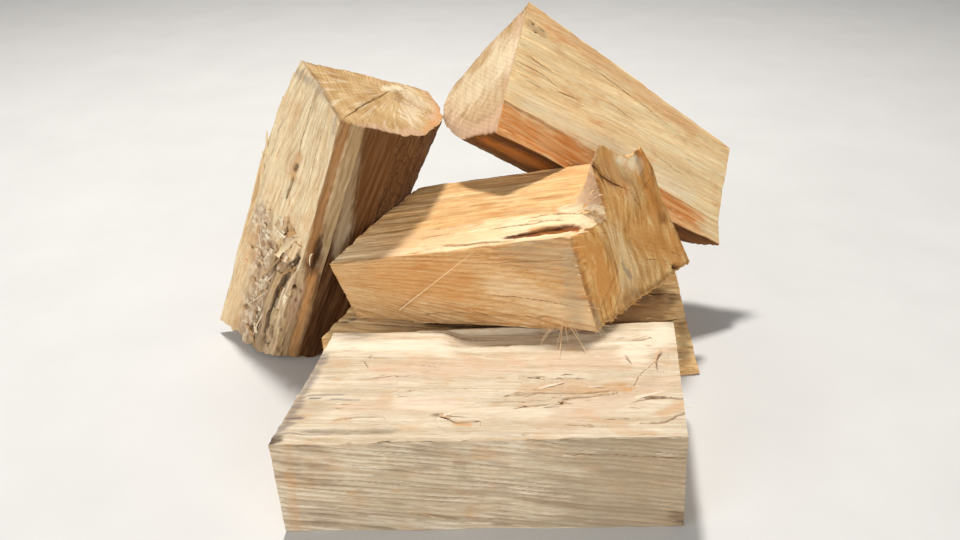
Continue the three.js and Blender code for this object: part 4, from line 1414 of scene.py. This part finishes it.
class Recipe:
    """Makes the nodes of one material."""

    def __init__(self, name):
        self.material = bpy.data.materials.new(name)
        self.material.use_nodes = True
        self.nodes = self.material.node_tree.nodes
        self.links = self.material.node_tree.links
        self.nodes.clear()

    def node(self, kind, inputs=None, **settings):
        made = self.nodes.new(kind)
        for key, value in settings.items():
            setattr(made, key, value)
        for key, value in (inputs or {}).items():
            if isinstance(value, bpy.types.NodeSocket):
                self.links.new(value, made.inputs[key])
            else:
                made.inputs[key].default_value = value
        return made

    def number(self, name):
        return self.node("ShaderNodeAttribute", attribute_name=name).outputs["Fac"]

    def vector(self, name):
        return self.node("ShaderNodeAttribute", attribute_name=name).outputs["Vector"]

    def math(self, operation, a, b=0.0, clamp=False):
        made = self.node("ShaderNodeMath", {0: a, 1: b}, operation=operation, use_clamp=clamp)
        return made.outputs[0]

    def stretch(self, vector, factors):
        made = self.node("ShaderNodeVectorMath", {0: vector, 1: factors}, operation="MULTIPLY")
        return made.outputs[0]

    def shifted(self, vector, other):
        return self.node("ShaderNodeVectorMath", {0: vector, 1: other}, operation="ADD").outputs[0]

    def noise(self, vector, scale=1.0, detail=3.0, rough=0.55):
        made = self.node(
            "ShaderNodeTexNoise",
            {"Vector": vector, "Scale": scale, "Detail": detail, "Roughness": rough},
        )
        return made

    def ease(self, value, low, high, out_low=0.0, out_high=1.0):
        made = self.node(
            "ShaderNodeMapRange",
            {"Value": value, "From Min": low, "From Max": high, "To Min": out_low, "To Max": out_high},
            interpolation_type="SMOOTHSTEP",
        )
        return made.outputs[0]

    def ramp(self, value, stops):
        made = self.node("ShaderNodeValToRGB", {0: value})
        elements = made.color_ramp.elements
        while len(elements) < len(stops):
            elements.new(0.5)
        for element, (place, shade) in zip(elements, stops):
            element.position = place
            element.color = shade
        return made.outputs[0]

    def blend(self, share, a, b, kind="MIX"):
        made = self.node("ShaderNodeMix", {0: share, 6: a, 7: b}, data_type="RGBA", blend_type=kind)
        return made.outputs[2]

    def finish(self, base, height, roughness, bump=0.5, depth=0.0006):
        relief = self.node(
            "ShaderNodeBump", {"Height": height, "Strength": bump, "Distance": depth}
        )
        shader = self.node(
            "ShaderNodeBsdfPrincipled",
            {
                "Base Color": base, "Roughness": roughness, "Normal": relief.outputs[0],
                "Specular IOR Level": 0.16,
            },
        )
        output = self.node("ShaderNodeOutputMaterial")
        self.links.new(shader.outputs[0], output.inputs[0])
        return self.material


# What the masks turn the wood into. Several of them also carry painted shade: the near-black colour in
# holes, hollows, gaps and at the foot of steps, and the colours of rib hollows and cracks
BROWN = colour(138, 96, 58)
INK = colour(92, 84, 92)
GREY = colour(168, 150, 122)
DARK_AND_SHADE = colour(58, 34, 18)
CREVICE_SHADE = colour(62, 36, 18)
ROSE = colour(218, 180, 150)
DASH = colour(120, 78, 40)
GASH = colour(150, 84, 42)


def stained(recipe, base, palette, streak):
    """Lays the stains, cracks, torn fibres and painted shade over a wood colour."""
    for name, shade, least, most in (
        ("groove_with_shade", palette["groove_with_shade"], 0.5 * palette["grooves"], palette["grooves"]),
        ("brown", palette.get("brown", BROWN), 0.93, 1.0),
        ("rose", ROSE, 0.5, 0.75),
        ("pale", palette["bright"], 0.66, 0.84),
        ("gash", GASH, 0.85, 1.0),
        ("warm", palette["warm"], 0.5, 0.85),
        ("grey", palette.get("grey", GREY), 0.55, 0.8),
        ("ink", INK, 0.5, 0.85),
        ("dark_and_shade", DARK_AND_SHADE, 0.6, 0.92),
    ):
        most_here = recipe.ease(streak, 0.38, 0.6, least, most)
        share = recipe.math("MULTIPLY", recipe.number(name), most_here)
        base = recipe.blend(share, base, shade)
    # Painted shade: a brown line in thin cracks and under lifted flakes, and in wider cracks a band of
    # late-wood colour round the gap and a near-black fill inside it
    gap = recipe.math("ABSOLUTE", recipe.number("hairline"))
    base = recipe.blend(recipe.ease(gap, 0.4, 1.8, 0.62, 0.0), base, palette["hairline"])
    gap = recipe.math("ABSOLUTE", recipe.number("crack"))
    halo = recipe.ease(gap, 1.0, 3.4, 0.35, 0.0)
    base = recipe.blend(halo, base, palette["late"])
    crevice_shade = palette.get("crevice_shade", CREVICE_SHADE)
    return recipe.blend(recipe.ease(gap, 0.55, 1.15, 0.96, 0.0), base, crevice_shade)


def split_wood(name, palette):
    """Torn along the grain: streaks, year rings, dashes and fibres."""
    recipe = Recipe(name)
    grain = recipe.vector("grain")
    waver = recipe.noise(recipe.stretch(grain, (0.09, 0.5, 0.5)), detail=2).outputs["Color"]
    waver = recipe.stretch(recipe.shifted(waver, (-0.5, -0.5, -0.5)), (0, 0.6, 0.6))
    wavy = recipe.shifted(grain, waver)
    broad = recipe.noise(recipe.stretch(wavy, (0.035, 0.55, 0.55)), detail=3).outputs["Fac"]
    streak = recipe.noise(recipe.stretch(wavy, (0.075, 2.8, 2.8)), detail=4).outputs["Fac"]
    fibre = recipe.noise(recipe.stretch(wavy, (0.34, 5.6, 5.6)), detail=4).outputs["Fac"]
    fine = recipe.noise(recipe.stretch(wavy, (1.1, 11, 11)), detail=3).outputs["Fac"]
    blotch = recipe.noise(recipe.stretch(grain, (0.25, 0.4, 0.4)), detail=3).outputs["Fac"]

    waves = recipe.noise(recipe.stretch(wavy, (0.1, 1.1, 1.1)), detail=2).outputs["Fac"]
    ring = recipe.math("ADD", recipe.number("ring"), recipe.math("MULTIPLY", waves, 1.6))
    ring = recipe.math("FRACT", ring)
    late = recipe.math("MULTIPLY", recipe.ease(ring, 0.35, 0.9), recipe.ease(ring, 1.0, 0.94))

    tone = recipe.math("MULTIPLY", broad, 0.24)
    tone = recipe.math("ADD", tone, recipe.math("MULTIPLY", streak, 0.26))
    tone = recipe.math("ADD", tone, recipe.math("MULTIPLY", fibre, 0.3))
    tone = recipe.math("ADD", tone, recipe.math("MULTIPLY", fine, 0.2))
    base = recipe.ramp(
        tone, [(0.41, palette["deep"]), (0.49, palette["mid"]), (0.57, palette["pale"])]
    )
    late_share = recipe.math("MULTIPLY", late, palette["rings"])
    base = recipe.blend(late_share, base, palette["late"])
    base = recipe.blend(recipe.ease(blotch, 0.52, 0.72, 0.0, 0.35), base, palette["warm"])
    dash = recipe.noise(recipe.stretch(wavy, (0.35, 6.5, 6.5)), detail=2).outputs["Fac"]
    dash = recipe.ease(dash, 0.64, 0.74, 0.0, palette["dashes"])
    base = recipe.blend(dash, base, DASH)
    base = stained(recipe, base, palette, streak)

    height = recipe.math("ADD", recipe.math("MULTIPLY", fine, 0.6), streak)
    height = recipe.math("ADD", height, recipe.math("MULTIPLY", fibre, 0.8))
    height = recipe.math("SUBTRACT", height, recipe.math("MULTIPLY", dash, 0.8))
    height = recipe.math("ADD", height, recipe.math("MULTIPLY", late, 0.25))
    roughness = recipe.ease(fine, 0.3, 0.7, 0.9, 0.68)
    return recipe.finish(base, height, roughness, bump=0.7, depth=0.0009)


def sawn_wood(name, palette, angle):
    """Cut across the grain: year rings, rays, saw marks and fuzz."""
    recipe = Recipe(name)
    grain = recipe.vector("grain")
    turned = recipe.node(
        "ShaderNodeVectorRotate",
        {"Vector": grain, "Angle": math.radians(angle)},
        rotation_type="X_AXIS",
    ).outputs[0]
    marks = recipe.noise(recipe.stretch(turned, (1, 1.9, 0.22)), detail=4).outputs["Fac"]
    scores = recipe.noise(recipe.stretch(turned, (1, 9, 0.7)), detail=3).outputs["Fac"]
    broad = recipe.noise(grain, scale=0.35, detail=3).outputs["Fac"]
    fuzz = recipe.noise(grain, scale=16, detail=3).outputs["Fac"]
    waves = recipe.noise(grain, scale=0.8, detail=2).outputs["Fac"]
    ring = recipe.math("ADD", recipe.number("ring"), recipe.math("MULTIPLY", waves, 0.9))
    ring = recipe.math("FRACT", ring)
    late = recipe.math("MULTIPLY", recipe.ease(ring, 0.3, 0.88), recipe.ease(ring, 1.0, 0.93))
    ray_place = recipe.node(
        "ShaderNodeCombineXYZ", {0: recipe.number("ray"), 1: recipe.number("ring"), 2: 0.0}
    ).outputs[0]
    spacing = (palette.get("ray_spacing", 1.4), 0.14, 1)
    rays = recipe.noise(recipe.stretch(ray_place, spacing), detail=3).outputs["Fac"]

    tone = recipe.math("MULTIPLY", marks, palette["saw"])
    tone = recipe.math("ADD", tone, recipe.math("MULTIPLY", broad, 0.75 - palette["saw"]))
    tone = recipe.math("ADD", tone, recipe.math("MULTIPLY", fuzz, 0.13))
    tone = recipe.math("ADD", tone, recipe.math("MULTIPLY", scores, 0.12))
    deep, mid, pale = palette["sawn"]
    base = recipe.ramp(tone, [(0.4, deep), (0.49, mid), (0.58, pale)])
    late_share = recipe.math("MULTIPLY", late, palette["end_rings"])
    base = recipe.blend(late_share, base, palette["late"])
    rays = recipe.ease(rays, 0.5, 0.68, 0.0, palette["rays"])
    base = recipe.blend(rays, base, palette["bright"])
    base = stained(recipe, base, palette, marks)

    height = recipe.math("ADD", recipe.math("MULTIPLY", fuzz, 0.5), scores)
    height = recipe.math("ADD", height, recipe.math("MULTIPLY", marks, 0.8))
    height = recipe.math("ADD", height, recipe.math("MULTIPLY", late, 0.3))
    return recipe.finish(base, height, recipe.ease(fuzz, 0.3, 0.7, 0.92, 0.75), depth=0.0008)


def bark(name, palette):
    """Thin brown bark with long scales and fine furrows."""
    recipe = Recipe(name)
    grain = recipe.vector("grain")
    scales = recipe.node(
        "ShaderNodeTexVoronoi",
        {"Vector": recipe.stretch(grain, (0.4, 1.1, 1.1)), "Scale": 1.3, "Randomness": 1.0},
        feature="DISTANCE_TO_EDGE",
    ).outputs[0]
    broad = recipe.noise(recipe.stretch(grain, (0.1, 0.5, 0.5)), detail=3).outputs["Fac"]
    streak = recipe.noise(recipe.stretch(grain, (0.2, 3, 3)), detail=5, rough=0.65).outputs["Fac"]
    fine = recipe.noise(recipe.stretch(grain, (3, 14, 14)), detail=3).outputs["Fac"]
    tone = recipe.math("MULTIPLY", broad, 0.4)
    tone = recipe.math("ADD", tone, recipe.math("MULTIPLY", streak, 0.45))
    tone = recipe.math("ADD", tone, recipe.math("MULTIPLY", fine, 0.15))
    base = recipe.ramp(
        tone, [(0.34, palette["bark_deep"]), (0.48, palette["bark"]), (0.64, palette["bark_pale"])]
    )
    # Painted shade in the gaps between the bark scales
    gaps = recipe.ease(scales, 0.0, 0.09, 0.55, 0.0)
    base = recipe.blend(gaps, base, CREVICE_SHADE)
    height = recipe.math("ADD", recipe.math("MULTIPLY", streak, 0.8), fine)
    height = recipe.math("SUBTRACT", height, gaps)
    return recipe.finish(base, height, recipe.ease(fine, 0.3, 0.7, 0.95, 0.75), depth=0.0014)


PALETTES = {
    "pale_wood": {
        "deep": colour(200, 176, 146), "mid": colour(215, 197, 168), "pale": colour(229, 215, 191),
        "sawn": (colour(200, 168, 126), colour(222, 196, 158), colour(236, 216, 182)),
        "late": colour(190, 152, 108), "bright": colour(248, 234, 210),
        "warm": colour(206, 150, 92), "groove_with_shade": colour(124, 96, 68), "grooves": 0.9,
        "hairline": colour(130, 86, 48), "crevice_shade": colour(96, 60, 34),
        "rings": 0.08, "end_rings": 0.2, "rays": 0.12, "dashes": 0.15, "saw": 0.35,
    },
    "brown_wood": {
        "deep": colour(216, 164, 102), "mid": colour(245, 202, 142), "pale": colour(252, 222, 166),
        "sawn": (colour(170, 124, 74), colour(212, 170, 114), colour(232, 198, 144)),
        "late": colour(150, 98, 50), "bright": colour(244, 214, 164),
        "warm": colour(206, 142, 72), "groove_with_shade": colour(126, 82, 44), "grooves": 0.6,
        "hairline": colour(112, 72, 38),
        "rings": 0.15, "end_rings": 0.25, "rays": 0.1, "dashes": 0.4, "saw": 0.4,
    },
    "orange_wood": {
        "deep": colour(212, 160, 100), "mid": colour(233, 190, 132), "pale": colour(244, 210, 158),
        "sawn": (colour(190, 134, 70), colour(223, 173, 105), colour(244, 206, 142)),
        "late": colour(176, 120, 62), "bright": colour(252, 232, 194),
        "warm": colour(210, 140, 66), "groove_with_shade": colour(164, 106, 52), "grooves": 0.75,
        "hairline": colour(132, 84, 42), "brown": colour(134, 82, 40),
        "crevice_shade": colour(84, 46, 22),
        "rings": 0.12, "end_rings": 0.1, "rays": 0.1, "dashes": 0.25, "saw": 0.52,
    },
    "tan_wood": {
        "deep": colour(220, 184, 134), "mid": colour(242, 214, 168), "pale": colour(252, 234, 194),
        "sawn": (colour(176, 138, 90), colour(194, 159, 108), colour(212, 179, 128)),
        "late": colour(160, 112, 60), "bright": colour(254, 242, 214),
        "warm": colour(208, 150, 88), "groove_with_shade": colour(164, 124, 76), "grooves": 0.6,
        "brown": colour(106, 66, 30), "grey": colour(154, 128, 90),
        "hairline": colour(120, 84, 50),
        "rings": 0.12, "end_rings": 0.4, "rays": 0.34, "ray_spacing": 0.6,
        "dashes": 0.35, "saw": 0.25,
        "bark_deep": colour(70, 44, 24), "bark": colour(106, 72, 42),
        "bark_pale": colour(138, 100, 62),
    },
    "golden_wood": {
        "deep": colour(243, 202, 146), "mid": colour(254, 221, 166), "pale": colour(255, 233, 186),
        "sawn": (colour(187, 152, 108), colour(199, 167, 126), colour(211, 185, 149)),
        "late": colour(190, 142, 84), "bright": colour(255, 240, 204),
        "warm": colour(213, 128, 50), "groove_with_shade": colour(184, 134, 78), "grooves": 0.5,
        "brown": colour(122, 72, 24),
        "hairline": colour(150, 104, 58),
        "rings": 0.08, "end_rings": 0.12, "rays": 0.1, "dashes": 0.35, "saw": 0.35,
        "bark_deep": colour(74, 50, 26), "bark": colour(124, 90, 52),
        "bark_pale": colour(160, 122, 76),
    },
}
SAW_ANGLES = {
    "pale_wood": 30, "brown_wood": -20, "orange_wood": 8, "tan_wood": 60, "golden_wood": 40,
}


def curve_through(points):
    """A smooth line from the first of three points to the last, bent towards the second."""
    share = np.linspace(0, 1, Strands.STEPS)[:, None]
    start, bend, tip = points
    return (1 - share) ** 2 * start + 2 * share * (1 - share) * bend + share ** 2 * tip


LOGS = (FRONT_SPLIT, BACK_SPLIT, MIDDLE_SPLIT, LEFT_SPLIT, TOP_SPLIT)
for log in LOGS:
    slot = log["slot"]
    palette = PALETTES[slot]
    materials = [split_wood(slot, palette), sawn_wood(slot + "_sawn", palette, SAW_ANGLES[slot])]
    if "bark" in palette:
        materials.append(bark(slot + "_bark", palette))
    made = build_log(log, materials)
    strands = Strands()
    for index, patch in enumerate(log.get("patches", ())):
        strands.scatter_over(made["grids"][patch["side"]], patch, PATCH_SEED + index)
    for sliver in log.get("slivers", ()):
        more = dict(sliver)
        strands.grow(made["grids"][more.pop("side")], **more)
    for start, bend, tip, width in log.get("tuft", ()):
        line = curve_through(from_heap(log, [start, bend, tip]))
        strands.add(line, np.array([[0.1, 0.9, 0.4]]), 1.5 * width, 1.4, 0, {"pale": 0.7})
    if strands.count:
        strands.build(log, materials[0])


def floor_material():
    recipe = Recipe("pale_floor")
    place = recipe.node("ShaderNodeTexCoord").outputs["Object"]
    speckle = recipe.noise(place, scale=6, detail=4).outputs["Fac"]
    base = recipe.ramp(speckle, [(0.3, colour(212, 211, 209)), (0.7, colour(217, 216, 214))])
    return recipe.finish(base, speckle, 0.9, bump=0.05, depth=0.0003)


FLOOR_HALF = 12
floor_mesh = bpy.data.meshes.new("floor")
corners = [(-FLOOR_HALF, -FLOOR_HALF, 0), (FLOOR_HALF, -FLOOR_HALF, 0)]
corners += [(FLOOR_HALF, FLOOR_HALF, 0), (-FLOOR_HALF, FLOOR_HALF, 0)]
floor_mesh.from_pydata(corners, [], [(0, 1, 2, 3)])
floor_mesh.materials.append(floor_material())
floor = bpy.data.objects.new("floor", floor_mesh)
bpy.context.scene.collection.objects.link(floor)

HEAP_MIDDLE = Vector((0, 0, 0.18))


def lamp(name, azimuth, elevation, distance, size, power, shade=(1, 1, 1)):
    """A square soft light that looks at the middle of the heap."""
    data = bpy.data.lights.new(name, "AREA")
    data.size = size
    data.energy = power
    data.color = shade
    made = bpy.data.objects.new(name, data)
    a = math.radians(azimuth)
    e = math.radians(elevation)
    out = Vector((math.cos(a) * math.cos(e), math.sin(a) * math.cos(e), math.sin(e)))
    made.location = HEAP_MIDDLE + distance * out
    made.rotation_euler = out.to_track_quat("Z", "Y").to_euler()
    bpy.context.scene.collection.objects.link(made)


lamp("key", azimuth=104, elevation=67, distance=3.2, size=0.34, power=108, shade=(1, 0.97, 0.93))
lamp("left_fill", azimuth=-138, elevation=15, distance=3.0, size=1.8, power=37)
lamp("right_fill", azimuth=-62, elevation=12, distance=3.0, size=1.8, power=36)

world = bpy.data.worlds.new("studio")
world.use_nodes = True
background = world.node_tree.nodes["Background"]
background.inputs["Color"].default_value = (1, 1, 1, 1)
background.inputs["Strength"].default_value = 0.24
bpy.context.scene.world = world
bpy.context.scene.view_settings.view_transform = "Standard"

camera_data = bpy.data.cameras.new("camera")
camera_data.lens = 33.75
camera_data.sensor_width = 36
camera = bpy.data.objects.new("camera", camera_data)
camera.location = (0.00526, -0.9408, 0.65)
camera.rotation_euler = (math.radians(62.5), 0, 0)
bpy.context.scene.collection.objects.link(camera)
bpy.context.scene.camera = camera
